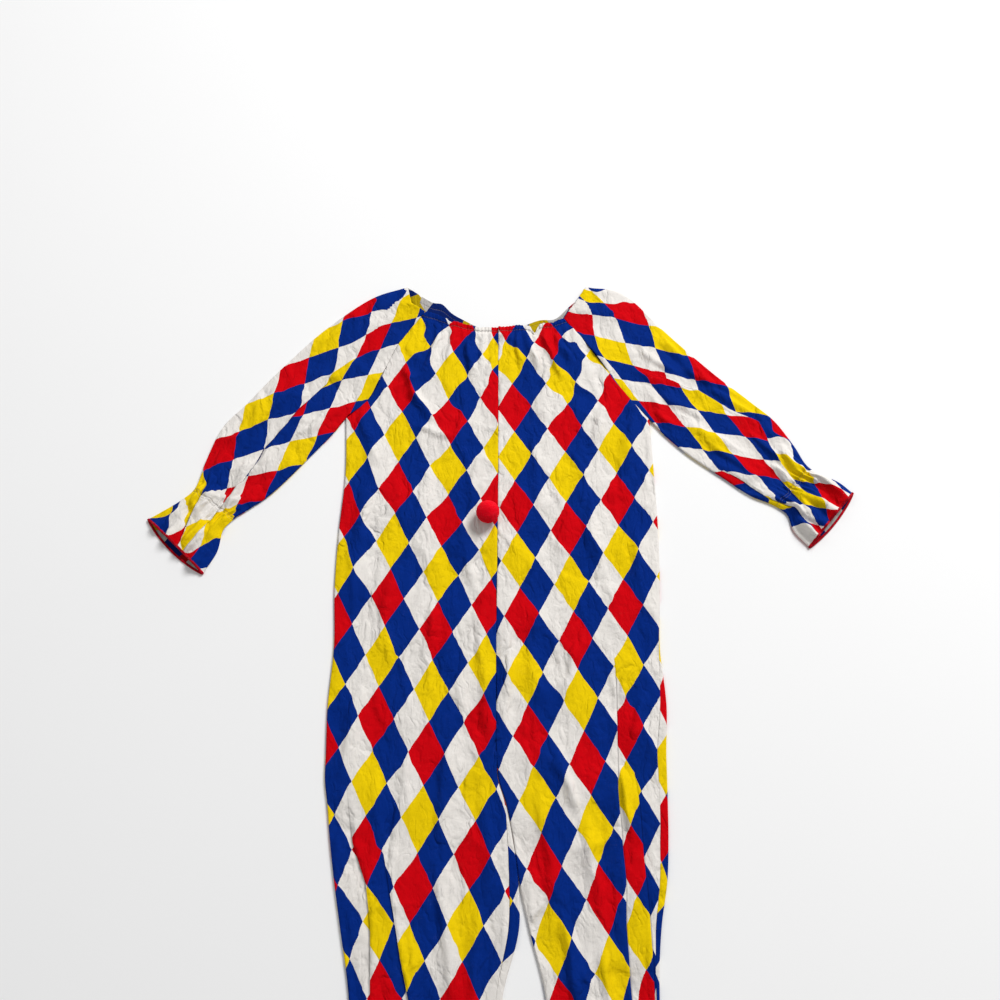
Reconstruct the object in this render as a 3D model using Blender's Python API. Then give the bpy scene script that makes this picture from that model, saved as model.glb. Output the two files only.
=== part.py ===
# A clown's jumpsuit laid out flat, front up: two fronts, two backs, two raglan sleeves and a pompom.
# +Y points to the neck, the wearer's right side is at -X, and the backs rest on z = 0.
# The tables are in metres from the crotch, and every object is then placed so that the origin is
# the middle of the garment's underside.

import math
from collections import namedtuple

import bpy
import bmesh

# cloth
CLOTH = 0.0012                # wall of the cloth
SEAM_GAP = 0.0003             # between two sewn pieces
EDGE_RADIUS = 0.0026          # outside radius of the turn where the cloth doubles back
TOP = 2 * EDGE_RADIUS         # height of the upper layer where no fold lifts it
CROWN = 0.0014                # how far the upper layer rises between two seams

SEAM_STRIP = 0.0020           # strip beside a seam that stays level with it
QUARTER_TURN = 0.5 * math.pi
FLAT_LIMIT = 1e-6             # what counts as level with the upper layer
SHARP_ANGLE = 40              # degrees between faces that stay a crease

# counts
TURN_STEPS = 2                # steps of the upper layer into a turned edge
WRAP_STEPS = 4                # steps of the lower layer round a turned edge
FRONT_STEPS = 9               # steps across a front
BACK_STEPS = 4                # steps across a back

# pompom
POMPOM_DIAMETER = 0.038
POMPOM_FLATTEN = 0.92
POMPOM_PLACE = (-0.017, 0.425)
POMPOM_SEAT = TOP + 0.0030    # clear of the front's crown

# A row for each section of a body half, from the neck to the hem. inner is the centre seam and,
# below the crotch, the inseam. roll says how far a turned edge's seam is rolled over onto the
# front, and is None where the seam lies flat, away from any turned edge.
Section = namedtuple("Section", "inner_x inner_y outer_x outer_y inner_roll outer_roll")

RAGLAN_RIGHT = [              # front corner of the neck to the armpit
    (-0.132, 0.822), (-0.160, 0.783), (-0.184, 0.742), (-0.205, 0.693), (-0.229, 0.641),
    (-0.264, 0.608),
]
RAGLAN_LEFT = [
    (0.118, 0.808), (0.143, 0.775), (0.169, 0.738), (0.196, 0.697), (0.224, 0.653),
    (0.262, 0.605),
]
RAGLAN_INNER_Y = [0.789, 0.752, 0.713, 0.672, 0.632, 0.598]

TRUNK_RIGHT = [
    Section(0.000, 0.500, -0.259, 0.500, None, 0.000),
    Section(-0.001, 0.400, -0.264, 0.400, None, 0.000),
    Section(-0.002, 0.300, -0.265, 0.300, None, 0.000),
    Section(-0.003, 0.205, -0.260, 0.205, None, 0.000),
    Section(-0.003, 0.110, -0.264, 0.110, None, 0.000),
    Section(-0.002, 0.035, -0.262, 0.035, None, 0.000),
]
LEG_RIGHT = [
    Section(0.000, 0.000, -0.261, 0.000, 0.000, 0.000),
    Section(0.010, -0.030, -0.256, -0.030, 0.002, 0.000),
    Section(0.021, -0.080, -0.249, -0.080, 0.009, 0.000),
    Section(0.030, -0.145, -0.238, -0.145, 0.015, 0.000),
    Section(0.031, -0.200, -0.227, -0.200, 0.017, 0.000),
    Section(0.006, -0.298, -0.208, -0.298, 0.010, 0.000),
    Section(0.002, -0.370, -0.203, -0.370, 0.003, 0.000),
    Section(0.000, -0.470, -0.200, -0.470, 0.000, 0.000),
    Section(-0.001, -0.640, -0.199, -0.640, 0.000, 0.000),
]
TRUNK_LEFT = [
    Section(0.000, 0.500, 0.264, 0.500, None, 0.000),
    Section(-0.001, 0.400, 0.265, 0.400, None, 0.000),
    Section(-0.002, 0.300, 0.262, 0.300, None, 0.000),
    Section(-0.003, 0.205, 0.256, 0.205, None, 0.003),
    Section(-0.003, 0.110, 0.261, 0.110, None, 0.012),
    Section(-0.002, 0.035, 0.256, 0.035, None, 0.016),
]
LEG_LEFT = [
    Section(0.001, 0.000, 0.255, 0.000, 0.000, 0.015),
    Section(0.011, -0.030, 0.254, -0.030, 0.000, 0.014),
    Section(0.022, -0.080, 0.252, -0.080, 0.000, 0.014),
    Section(0.031, -0.145, 0.246, -0.145, 0.000, 0.013),
    Section(0.043, -0.200, 0.235, -0.200, 0.000, 0.010),
    Section(0.067, -0.298, 0.226, -0.298, 0.000, 0.006),
    Section(0.069, -0.370, 0.226, -0.370, 0.000, 0.003),
    Section(0.065, -0.470, 0.231, -0.470, 0.000, 0.000),
    Section(0.057, -0.640, 0.241, -0.640, 0.000, 0.000),
]

# The neck edge of each back: it dips behind the front and stands above it at both ends.
BACK_NECK_INNER_Y = 0.776
BACK_NECK_CORNER = {"right": (-0.140, 0.857), "left": (0.140, 0.846)}
FRONT_NECK_BOW = 2.0
BACK_NECK_BOW = 1.2

# A row for each section of a sleeve, from the armhole to the cuff's edge: its lower end, its upper
# end, and how high the flutes of the gathers stand there.
Cuff = namedtuple("Cuff", "under_x under_y over_x over_y flute")

SLEEVE_RIGHT_TOP = (-0.166, 0.876)
SLEEVE_RIGHT = [
    Cuff(-0.268, 0.602, -0.242, 0.843, 0.0000),
    Cuff(-0.273, 0.595, -0.315, 0.781, 0.0000),
    Cuff(-0.283, 0.580, -0.385, 0.703, 0.0000),
    Cuff(-0.326, 0.528, -0.437, 0.637, 0.0000),
    Cuff(-0.381, 0.466, -0.480, 0.581, 0.0005),
    Cuff(-0.412, 0.441, -0.498, 0.525, 0.0015),
    Cuff(-0.440, 0.420, -0.513, 0.472, 0.0015),
    Cuff(-0.455, 0.402, -0.533, 0.453, 0.0030),
    Cuff(-0.462, 0.362, -0.562, 0.433, 0.0045),
    Cuff(-0.481, 0.326, -0.582, 0.420, 0.0050),
]
SLEEVE_LEFT_TOP = (0.161, 0.876)
SLEEVE_LEFT = [
    Cuff(0.267, 0.598, 0.238, 0.852, 0.0000),
    Cuff(0.274, 0.590, 0.296, 0.784, 0.0000),
    Cuff(0.287, 0.574, 0.372, 0.703, 0.0000),
    Cuff(0.331, 0.532, 0.440, 0.639, 0.0000),
    Cuff(0.384, 0.492, 0.480, 0.599, 0.0005),
    Cuff(0.424, 0.462, 0.507, 0.554, 0.0015),
    Cuff(0.466, 0.442, 0.529, 0.513, 0.0015),
    Cuff(0.482, 0.428, 0.549, 0.500, 0.0030),
    Cuff(0.489, 0.400, 0.573, 0.488, 0.0045),
    Cuff(0.512, 0.371, 0.596, 0.467, 0.0050),
]
FLUTES = 3.5                  # waves of the ruffle across one layer

# A row for each large fold of the upper layer: its two ends, its height and its half width.
Fold = namedtuple("Fold", "start_x start_y end_x end_y height half_width")

FOLDS = [
    Fold(0.178, 0.190, 0.189, -0.070, 0.0055, 0.026),
    Fold(0.189, -0.070, 0.170, -0.330, 0.0050, 0.024),
    Fold(-0.214, -0.090, -0.120, -0.330, 0.0050, 0.026),
    Fold(-0.012, 0.230, -0.006, 0.010, 0.0022, 0.024),
    Fold(-0.120, 0.640, -0.060, 0.420, 0.0030, 0.030),
    Fold(0.150, 0.600, 0.110, 0.430, 0.0030, 0.030),
    Fold(-0.226, 0.700, -0.430, 0.475, 0.0045, 0.024),
    Fold(0.235, 0.690, 0.455, 0.500, 0.0040, 0.024),
]

COLOURS = {                   # colour and roughness of each piece
    "front_right": ((0.80, 0.62, 0.03), 0.85),
    "front_left": ((0.01, 0.04, 0.24), 0.85),
    "back_right": ((0.01, 0.04, 0.24), 0.85),
    "back_left": ((0.80, 0.78, 0.72), 0.85),
    "sleeve_right": ((0.55, 0.01, 0.01), 0.85),
    "sleeve_left": ((0.80, 0.62, 0.03), 0.85),
    "pompom": ((0.78, 0.01, 0.02), 0.95),
}


def fold_lift(x, y):
    """Height that the folds add to the upper layer at a place."""
    lift = 0.0
    for fold in FOLDS:
        run_x = fold.end_x - fold.start_x
        run_y = fold.end_y - fold.start_y
        length = math.hypot(run_x, run_y)
        along = ((x - fold.start_x) * run_x + (y - fold.start_y) * run_y) / length ** 2
        aside = ((x - fold.start_x) * run_y - (y - fold.start_y) * run_x) / length
        if abs(aside) >= fold.half_width or not 0.0 < along < 1.0:
            continue
        ridge = math.cos(0.5 * math.pi * aside / fold.half_width) ** 2
        lift = max(lift, fold.height * ridge * math.sin(math.pi * along) ** 0.6)
    return lift


def edge_point(distance):
    """A place on a turned edge, by its distance along the cloth from the outermost line.

    Gives how far in it is, how high, and the cloth's outward direction in the same two axes.
    Positive distances are on the upper layer and negative ones underneath.
    """
    angle = max(-QUARTER_TURN, min(QUARTER_TURN, distance / EDGE_RADIUS))
    flat = max(0.0, abs(distance) - EDGE_RADIUS * QUARTER_TURN)
    inward = EDGE_RADIUS * (1 - math.cos(angle)) + flat
    return inward, EDGE_RADIUS * (1 + math.sin(angle)), -math.cos(angle), math.sin(angle)


def seam_points(roll, layer):
    """The points of one layer from its seam to where it lies flat."""
    side = 1 if layer == "upper" else -1
    count = TURN_STEPS if layer == "upper" else WRAP_STEPS
    if roll is None:
        height = TOP if layer == "upper" else 0.0
        return [(0.5 * SEAM_GAP + SEAM_STRIP * step / count, height, 0.0, side)
                for step in range(count + 1)]
    seam = roll + 0.5 * side * SEAM_GAP
    reach = EDGE_RADIUS * QUARTER_TURN
    if layer == "upper":
        end = max(reach, seam + SEAM_STRIP)
        return [edge_point(seam + (end - seam) * step / count) for step in range(count + 1)]
    lip = min(seam - 0.5 * SEAM_STRIP, reach)
    around = [edge_point(lip - (lip + reach) * step / (count - 1)) for step in range(count)]
    return [edge_point(seam)] + around


def body_row(section, layer, steps, bow):
    """Outer and inner points of one section of a front or a back, from inner end to outer end."""
    width = abs(section.outer_x - section.inner_x)
    side = 1 if section.outer_x > section.inner_x else -1
    near = seam_points(section.inner_roll, layer)
    far = seam_points(section.outer_roll, layer)
    start = near[-1][0]
    end = width - far[-1][0]
    places = list(near)
    for step in range(1, steps):
        places.append((start + (end - start) * step / steps, near[-1][1], 0.0, near[-1][3]))
    places += [(width - inward, height, -out, up) for inward, height, out, up in reversed(far)]
    outer_line = []
    inner_line = []
    for across, height, out, up in places:
        x = section.inner_x + side * across
        share = across / width
        y = section.inner_y + (section.outer_y - section.inner_y) * max(0.0, share) ** bow
        if layer == "upper" and height >= TOP - FLAT_LIMIT:
            between = max(0.0, min(1.0, (across - near[0][0]) / (width - far[0][0] - near[0][0])))
            height += CROWN * math.sin(math.pi * between) + fold_lift(x, y)
        outer_line.append((x, y, height))
        inner_line.append((x - side * out * CLOTH, y, height - up * CLOTH))
    return outer_line, inner_line


def sleeve_row(line_up, line_down, share_up, lifted, flute):
    """Outer and inner points round one section of a sleeve.

    line_up and line_down are the section's plan on the upper and the lower layer, from the
    underarm edge to the upper edge.
    """
    outer_loop = []
    inner_loop = []

    def add(place, out, height, up):
        outer_loop.append((place[0], place[1], height))
        inner_loop.append((place[0] - out[0] * CLOTH, place[1] - out[1] * CLOTH,
                           height - up * CLOTH))

    def edge(end, towards, side, order):
        """The turned edge at one end, in one layer, from or to its outermost point."""
        run_x = towards[0] - end[0]
        run_y = towards[1] - end[1]
        length = math.hypot(run_x, run_y)
        for step in order:
            angle = side * QUARTER_TURN * step / TURN_STEPS
            inward = EDGE_RADIUS * (1 - math.cos(angle))
            place = (end[0] + run_x / length * inward, end[1] + run_y / length * inward)
            out = (-run_x / length * math.cos(angle), -run_y / length * math.cos(angle))
            add(place, out, EDGE_RADIUS * (1 + math.sin(angle)), math.sin(angle))

    edge(line_up[0], line_up[1], 1, range(TURN_STEPS + 1))
    for index in range(1, len(line_up) - 1):
        place = line_up[index]
        share = share_up[index]
        height = TOP + lifted * CROWN * math.sin(math.pi * share) + fold_lift(*place)
        height += flute * (0.5 - 0.5 * math.cos(2 * math.pi * FLUTES * share))
        add(place, (0.0, 0.0), height, 1.0)
    edge(line_up[-1], line_up[-2], 1, range(TURN_STEPS, -1, -1))
    edge(line_down[-1], line_down[-2], -1, range(1, TURN_STEPS + 1))
    for place in reversed(line_down[1:-1]):
        add(place, (0.0, 0.0), 0.0, -1.0)
    edge(line_down[0], line_down[1], -1, range(TURN_STEPS, 0, -1))
    return outer_loop, inner_loop


def shares_along(line):
    """How far along a line each of its points is, from 0 to 1."""
    lengths = [math.dist(line[index], line[index + 1]) for index in range(len(line) - 1)]
    total = sum(lengths)
    return [sum(lengths[:index]) / total for index in range(len(line))]


def loft_wall(name, outer_rows, inner_rows, closed):
    """A wall of cloth between two lofted surfaces. A closed one runs round like a tube."""
    shape = bmesh.new()
    outer = [[shape.verts.new(point) for point in row] for row in outer_rows]
    inner = [[shape.verts.new(point) for point in row] for row in inner_rows]
    columns = len(outer_rows[0])
    last = len(outer_rows) - 1
    spans = range(columns if closed else columns - 1)
    for upper, lower in zip(range(last), range(1, last + 1)):
        for column in spans:
            after = (column + 1) % columns
            shape.faces.new((outer[upper][column], outer[upper][after],
                             outer[lower][after], outer[lower][column]))
            shape.faces.new((inner[upper][column], inner[lower][column],
                             inner[lower][after], inner[upper][after]))
        if not closed:
            for column in (0, columns - 1):
                shape.faces.new((outer[upper][column], outer[lower][column],
                                 inner[lower][column], inner[upper][column]))
    for row in (0, last):
        for column in spans:
            after = (column + 1) % columns
            shape.faces.new((outer[row][column], inner[row][column],
                             inner[row][after], outer[row][after]))
    bmesh.ops.recalc_face_normals(shape, faces=shape.faces)
    mesh = bpy.data.meshes.new(name)
    shape.to_mesh(mesh)
    shape.free()
    mesh.shade_smooth()
    mesh.set_sharp_from_angle(angle=math.radians(SHARP_ANGLE))
    return bpy.data.objects.new(name, mesh)


def half_sections(raglan, trunk, leg, neck_inner_y, neck_corner):
    """Every section of one body half, with the armhole's rows worked out from the raglan seam."""
    side = 1 if raglan[0][0] > 0 else -1
    corners = [neck_corner] + raglan[1:]
    heights = [neck_inner_y] + RAGLAN_INNER_Y[1:]
    rows = []
    for index, (corner, inner_y) in enumerate(zip(corners, heights)):
        roll = 0.0 if index == len(corners) - 1 else None
        rows.append(Section(0.0, inner_y, corner[0] - side * SEAM_GAP, corner[1], None, roll))
    return rows + trunk + leg


def make_body_half(side, raglan, trunk, leg):
    """The front and the back of one half of the body."""
    fronts = half_sections(raglan, trunk, leg, RAGLAN_INNER_Y[0], raglan[0])
    backs = half_sections(raglan, trunk, leg, BACK_NECK_INNER_Y, BACK_NECK_CORNER[side])
    front_rows = [body_row(section, "upper", FRONT_STEPS, FRONT_NECK_BOW) for section in fronts]
    back_rows = [body_row(section, "lower", BACK_STEPS, BACK_NECK_BOW) for section in backs]
    return [
        loft_wall("front_" + side, [row[0] for row in front_rows],
                  [row[1] for row in front_rows], False),
        loft_wall("back_" + side, [row[0] for row in back_rows],
                  [row[1] for row in back_rows], False),
    ]


def make_sleeve(side, raglan, top, cuffs):
    """One raglan sleeve, a flattened tube from the armhole to the ruffle's edge."""
    seam = list(reversed(raglan))
    corner = BACK_NECK_CORNER[side]
    plan_up = seam + [tuple(0.5 * (a + b) for a, b in zip(seam[-1], top)), top]
    plan_down = seam[:-1] + [corner, tuple(0.5 * (a + b) for a, b in zip(corner, top)), top]
    share_up = shares_along(plan_up)
    share_down = shares_along(plan_down)
    rows = [sleeve_row(plan_up, plan_down, share_up, 0.0, 0.0)]
    for index, cuff in enumerate(cuffs):
        under = (cuff.under_x, cuff.under_y)
        over = (cuff.over_x, cuff.over_y)
        line_up = [tuple(a + (b - a) * share for a, b in zip(under, over)) for share in share_up]
        line_down = [tuple(a + (b - a) * share for a, b in zip(under, over))
                     for share in share_down]
        lifted = min(1.0, 0.5 * (index + 1))
        rows.append(sleeve_row(line_up, line_down, share_up, lifted, cuff.flute))
    return loft_wall("sleeve_" + side, [row[0] for row in rows], [row[1] for row in rows], True)


def make_pompom():
    """The yarn ball on the wearer's right front, beside the centre seam."""
    radius = 0.5 * POMPOM_DIAMETER
    height = POMPOM_SEAT + radius * POMPOM_FLATTEN
    bpy.ops.mesh.primitive_uv_sphere_add(segments=16, ring_count=10, radius=radius,
                                         location=(*POMPOM_PLACE, height))
    ball = bpy.context.object
    ball.name = "pompom"
    for vertex in ball.data.vertices:
        vertex.co.z *= POMPOM_FLATTEN
    ball.data.shade_smooth()
    bpy.context.collection.objects.unlink(ball)
    return ball


def paint(piece):
    """The piece's own material."""
    colour, roughness = COLOURS[piece.name]
    material = bpy.data.materials.new(piece.name)
    material.use_nodes = True
    shader = material.node_tree.nodes["Principled BSDF"]
    shader.inputs["Base Color"].default_value = (*colour, 1.0)
    shader.inputs["Roughness"].default_value = roughness
    shader.inputs["Metallic"].default_value = 0.0
    piece.data.materials.append(material)


def main():
    for item in list(bpy.data.objects):
        bpy.data.objects.remove(item, do_unlink=True)
    pieces = make_body_half("right", RAGLAN_RIGHT, TRUNK_RIGHT, LEG_RIGHT)
    pieces += make_body_half("left", RAGLAN_LEFT, TRUNK_LEFT, LEG_LEFT)
    pieces.append(make_sleeve("right", RAGLAN_RIGHT, SLEEVE_RIGHT_TOP, SLEEVE_RIGHT))
    pieces.append(make_sleeve("left", RAGLAN_LEFT, SLEEVE_LEFT_TOP, SLEEVE_LEFT))
    pieces.append(make_pompom())

    corners = [vertex.co for piece in pieces[:-1] for vertex in piece.data.vertices]
    middle_x = 0.5 * (min(point.x for point in corners) + max(point.x for point in corners))
    middle_y = 0.5 * (min(point.y for point in corners) + max(point.y for point in corners))
    jumpsuit = bpy.data.collections.new("clown_jumpsuit")
    bpy.context.scene.collection.children.link(jumpsuit)
    for piece in pieces:
        piece.location.x -= middle_x
        piece.location.y -= middle_y
        paint(piece)
        jumpsuit.objects.link(piece)


main()
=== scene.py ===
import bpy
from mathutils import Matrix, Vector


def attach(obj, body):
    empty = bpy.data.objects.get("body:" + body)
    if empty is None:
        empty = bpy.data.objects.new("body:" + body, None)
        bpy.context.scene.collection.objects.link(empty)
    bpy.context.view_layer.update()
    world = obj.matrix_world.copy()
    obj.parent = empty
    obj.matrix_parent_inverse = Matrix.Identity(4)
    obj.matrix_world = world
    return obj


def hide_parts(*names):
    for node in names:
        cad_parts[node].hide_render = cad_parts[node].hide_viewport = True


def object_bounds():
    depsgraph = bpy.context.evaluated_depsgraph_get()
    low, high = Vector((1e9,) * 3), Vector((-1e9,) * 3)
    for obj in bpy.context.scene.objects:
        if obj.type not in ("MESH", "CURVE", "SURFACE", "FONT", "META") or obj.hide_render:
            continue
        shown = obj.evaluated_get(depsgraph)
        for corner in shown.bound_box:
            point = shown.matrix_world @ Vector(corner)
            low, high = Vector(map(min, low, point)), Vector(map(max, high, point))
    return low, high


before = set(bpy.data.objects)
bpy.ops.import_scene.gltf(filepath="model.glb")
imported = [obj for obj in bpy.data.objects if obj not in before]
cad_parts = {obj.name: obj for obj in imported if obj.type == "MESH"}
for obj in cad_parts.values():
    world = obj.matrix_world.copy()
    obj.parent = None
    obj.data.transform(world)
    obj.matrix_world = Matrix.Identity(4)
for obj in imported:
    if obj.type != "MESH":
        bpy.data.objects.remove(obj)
cadBox = [list(corner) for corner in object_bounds()]

import math
import random

import bmesh
import bpy
import numpy as np
from mathutils import Matrix, Vector

# The jumpsuit lies on its back. Tables are in metres from the crotch: x to the wearer's left,
# y to the neck. The wearer's right cuff and the hems fix them in the frame.
crotch = (cadBox[0][0] + 0.582, cadBox[0][1] + 0.640)

cloth = {
    "thick": 0.0005,         # wall of the shell
    "turn": 0.0026,          # outside radius where the cloth doubles back
    "pitch": 0.0036,         # size of a mesh cell on what shows
    "hiddenPitch": 0.0075,   # and on the backs
    "neckDepth": 0.016, "neckPitch": 0.0012,      # the closer rows at the neck
    "edgeColumns": 15,       # columns round a back's turned edge
    "levelled": 0.009,       # how far in from a turned edge the relief is at its full height
    "seamGap": 0.00006,
    "lowest": 0.0026,        # the upper layer never sinks below this
    "backRelief": 0.0016,    # the most that a fold stands on a back
    "columnsFor": 0.26,      # width that a panel's columns are counted for
}
upperLevel = 2 * cloth["turn"]
folds = {"panel": 2.4, "sleeve": 1.9}       # how strongly the folds in the tables stand
edgeStops = np.array([0.0, 0.0009, 0.0018, 0.0027, 0.0036, 0.0050, 0.0072])

diamond = {"wide": 0.054, "high": 0.0944}


# tables and curves

def smoothRead(stops, values, at, corners=()):
    # a smooth curve through the rows of a table, broken only at its corners
    stops = np.asarray(stops, float)
    values = np.asarray(values, float)
    at = np.clip(at, stops[0], stops[-1])
    result = np.empty((len(at), values.shape[1]))
    ends = [0, *corners, len(stops) - 1]
    for first, last in zip(ends, ends[1:]):
        knots = stops[first:last + 1]
        known = values[first:last + 1]
        slope = np.gradient(known, knots, axis=0)
        inside = (at >= knots[0]) & (at <= knots[-1])
        where = at[inside]
        index = np.clip(np.searchsorted(knots, where, side="right") - 1, 0, len(knots) - 2)
        span = (knots[index + 1] - knots[index])[:, None]
        f = (where - knots[index])[:, None] / span
        result[inside] = ((2 * f**3 - 3 * f**2 + 1) * known[index]
                          + (f**3 - 2 * f**2 + f) * span * slope[index]
                          + (3 * f**2 - 2 * f**3) * known[index + 1]
                          + (f**3 - f**2) * span * slope[index + 1])
    return result


def easeStep(value):
    value = np.clip(value, 0.0, 1.0)
    return value * value * (3 - 2 * value)


def edgeProfile(distance):
    # how far in and how high a point is on a turned edge, by its distance from the outermost line
    turn = cloth["turn"]
    angle = np.clip(distance / turn, -math.pi / 2, math.pi / 2)
    flat = np.maximum(0.0, np.abs(distance) - turn * math.pi / 2)
    return turn * (1 - np.cos(angle)) + flat, turn * (1 + np.sin(angle))


# relief of the cloth: folds listed in tables, then crumples scattered from a seed

crumples = {
    "large": {"length": (0.050, 0.150), "width": (0.0034, 0.0075), "height": (0.0014, 0.0042)},
    "small": {"length": (0.020, 0.060), "width": (0.0018, 0.0036), "height": (0.0005, 0.0018)},
    "perArea": {"large": 560, "small": 3000},     # creases on a square metre
    "area": {"panel": 0.36, "sleeve": 0.28},      # square metres taken for a piece
    "spread": 0.5,                                # how much their headings differ
    "crest": 0.0011,                              # half width of the round top of a crease
}

swells = {"panel": (0.0013, 0.10), "sleeve": (0.0012, 0.09)}      # height and length
pulling = {"panel": 0.021, "sleeve": 0.017, "ease": 0.12}         # how far a pull is felt


def creaseShift(aside, wide, height):
    # a crease takes up cloth, so the print is squeezed over its crest
    reach = aside / wide
    return 0.9 * np.abs(height) * reach * np.exp(-0.5 * reach**2)


def foldRelief(x, y, folds):
    # each row: start, end, height, half width, lean (steeper on one side)
    lift = np.zeros_like(x)
    push = np.zeros((2, *x.shape))
    for startX, startY, endX, endY, height, halfWidth, lean in folds:
        runX, runY = endX - startX, endY - startY
        length = math.hypot(runX, runY)
        along = ((x - startX) * runX + (y - startY) * runY) / length**2
        aside = ((x - startX) * runY - (y - startY) * runX) / length
        aside = aside + 0.12 * halfWidth * np.sin(along * 9 + height * 3000)
        wide = halfWidth * np.where(aside > 0, 1 - lean, 1 + lean)
        ridge = np.exp(-1.6 * (aside / wide)**2)
        fade = easeStep((along + 0.15) / 0.4) * easeStep((1.15 - along) / 0.4)
        lift += height * ridge * fade
        shift = creaseShift(aside, wide, height) * fade
        push += np.stack([shift * runY / length, -shift * runX / length])
    return lift, push


def crumpleRelief(x, y, seed, count, box, sizes, heading, spread):
    # short creases, sharp along the crest, of every length and depth within the sizes given
    draw = np.random.default_rng(seed)
    lift = np.zeros_like(x)
    push = np.zeros((2, *x.shape))
    lowX, lowY, highX, highY = box
    for _ in range(count):
        centreX = draw.uniform(lowX, highX)
        centreY = draw.uniform(lowY, highY)
        length = draw.uniform(*sizes["length"])
        wide = draw.uniform(*sizes["width"])
        height = draw.uniform(*sizes["height"]) * draw.choice((1.0, 1.0, -0.8))
        turn = heading + draw.normal(0.0, spread)
        bow = draw.uniform(-0.5, 0.5) / length
        near = (np.abs(x - centreX) < length) & (np.abs(y - centreY) < length)
        if not near.any():
            continue
        dx, dy = x[near] - centreX, y[near] - centreY
        along = dx * math.cos(turn) + dy * math.sin(turn)
        aside = -dx * math.sin(turn) + dy * math.cos(turn) + bow * along**2
        crest = np.exp(-np.sqrt(aside**2 + crumples["crest"]**2) / wide)
        fade = easeStep(1.0 - np.abs(along) / (0.62 * length))
        lift[near] += height * crest * fade
        shift = creaseShift(aside, wide, height) * fade
        push[0][near] -= shift * math.sin(turn)
        push[1][near] += shift * math.cos(turn)
    return lift, push


def addCrumples(lift, push, x, y, seed, area, headings):
    # large and small creases over a whole piece of cloth
    box = (x.min(), y.min(), x.max(), y.max())
    for index, (size, heading) in enumerate(zip(("large", "small"), headings)):
        creased, pushed = crumpleRelief(x, y, seed + index,
                                        int(crumples["perArea"][size] * area), box,
                                        crumples[size], heading, crumples["spread"])
        lift += creased
        push += pushed


def pullPrint(x, y, pulls, reach):
    # where gathers have drawn the cloth along: x, y, and how far the print has moved
    total = np.full(x.shape, pulling["ease"])
    moved = np.zeros((2, *x.shape))
    for pullX, pullY, across, down in pulls:
        weight = np.exp(-((x - pullX)**2 + (y - pullY)**2) / reach**2)
        total += weight
        moved += weight * np.array([across, down])[:, None, None]
    return moved / total


def swellRelief(x, y, seed, height, size):
    # slow rise and fall under everything
    draw = np.random.default_rng(seed)
    lift = np.zeros_like(x)
    waves = 14
    for _ in range(waves):
        turn = draw.uniform(0, math.pi)
        wave = draw.uniform(0.7, 1.8) * size
        lift += np.sin((x * math.cos(turn) + y * math.sin(turn)) * 2 * math.pi / wave
                       + draw.uniform(0, 2 * math.pi))
    return height * lift / waves**0.5


ledges = {
    "edge": 0.0022,          # how quickly the cloth drops at a tuck
    "dip": 0.0012, "dipWide": 0.006,              # the dip beside it
    "full": 0.012,           # hidden cloth at which a tuck stands at its full height
    "panelFade": 0.020, "sleeveFade": 0.014, "pleatFade": 0.016,
}


def ledge(gap, height, fade, early=0.0):
    # the upper side of a tuck stands proud and eases back into the cloth
    return height * easeStep(-gap / ledges["edge"] + early) * np.exp(np.minimum(gap, 0) / fade)


def ditch(gap, strength):
    # the cloth dips on the far side of a tuck
    beside = np.maximum(gap, 0) / ledges["dipWide"]
    return ledges["dip"] * strength * np.exp(-beside**2) * (gap > 0)


def tuckSplit(x, y, line):
    # a tuck's line runs through rows of (x, y, hidden cloth); gives the signed distance across it
    # and the cloth hidden at that place. Positive distances are to the wearer's left.
    line = np.asarray(line, float)
    start, end = line[0, :2], line[-1, :2]
    axis = (end - start) / np.linalg.norm(end - start)
    side = np.array([-axis[1], axis[0]])
    along = (x - start[0]) * axis[0] + (y - start[1]) * axis[1]
    aside = (x - start[0]) * side[0] + (y - start[1]) * side[1]
    knotAlong = (line[:, :2] - start) @ axis
    knotAside = (line[:, :2] - start) @ side
    gap = aside - np.interp(along, knotAlong, knotAside)
    hidden = np.interp(along, knotAlong, line[:, 2], left=0.0, right=0.0)
    return gap, hidden


def tuckSide(line, side):
    # turns the distances of tuckSplit so that they grow towards the wearer's left or right
    far = tuckSplit(np.array([line[0][0] + 1.0]), np.array([line[0][1]]), line)[0][0]
    return side * (1.0 if far > 0 else -1.0)


# the fronts and backs

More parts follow.
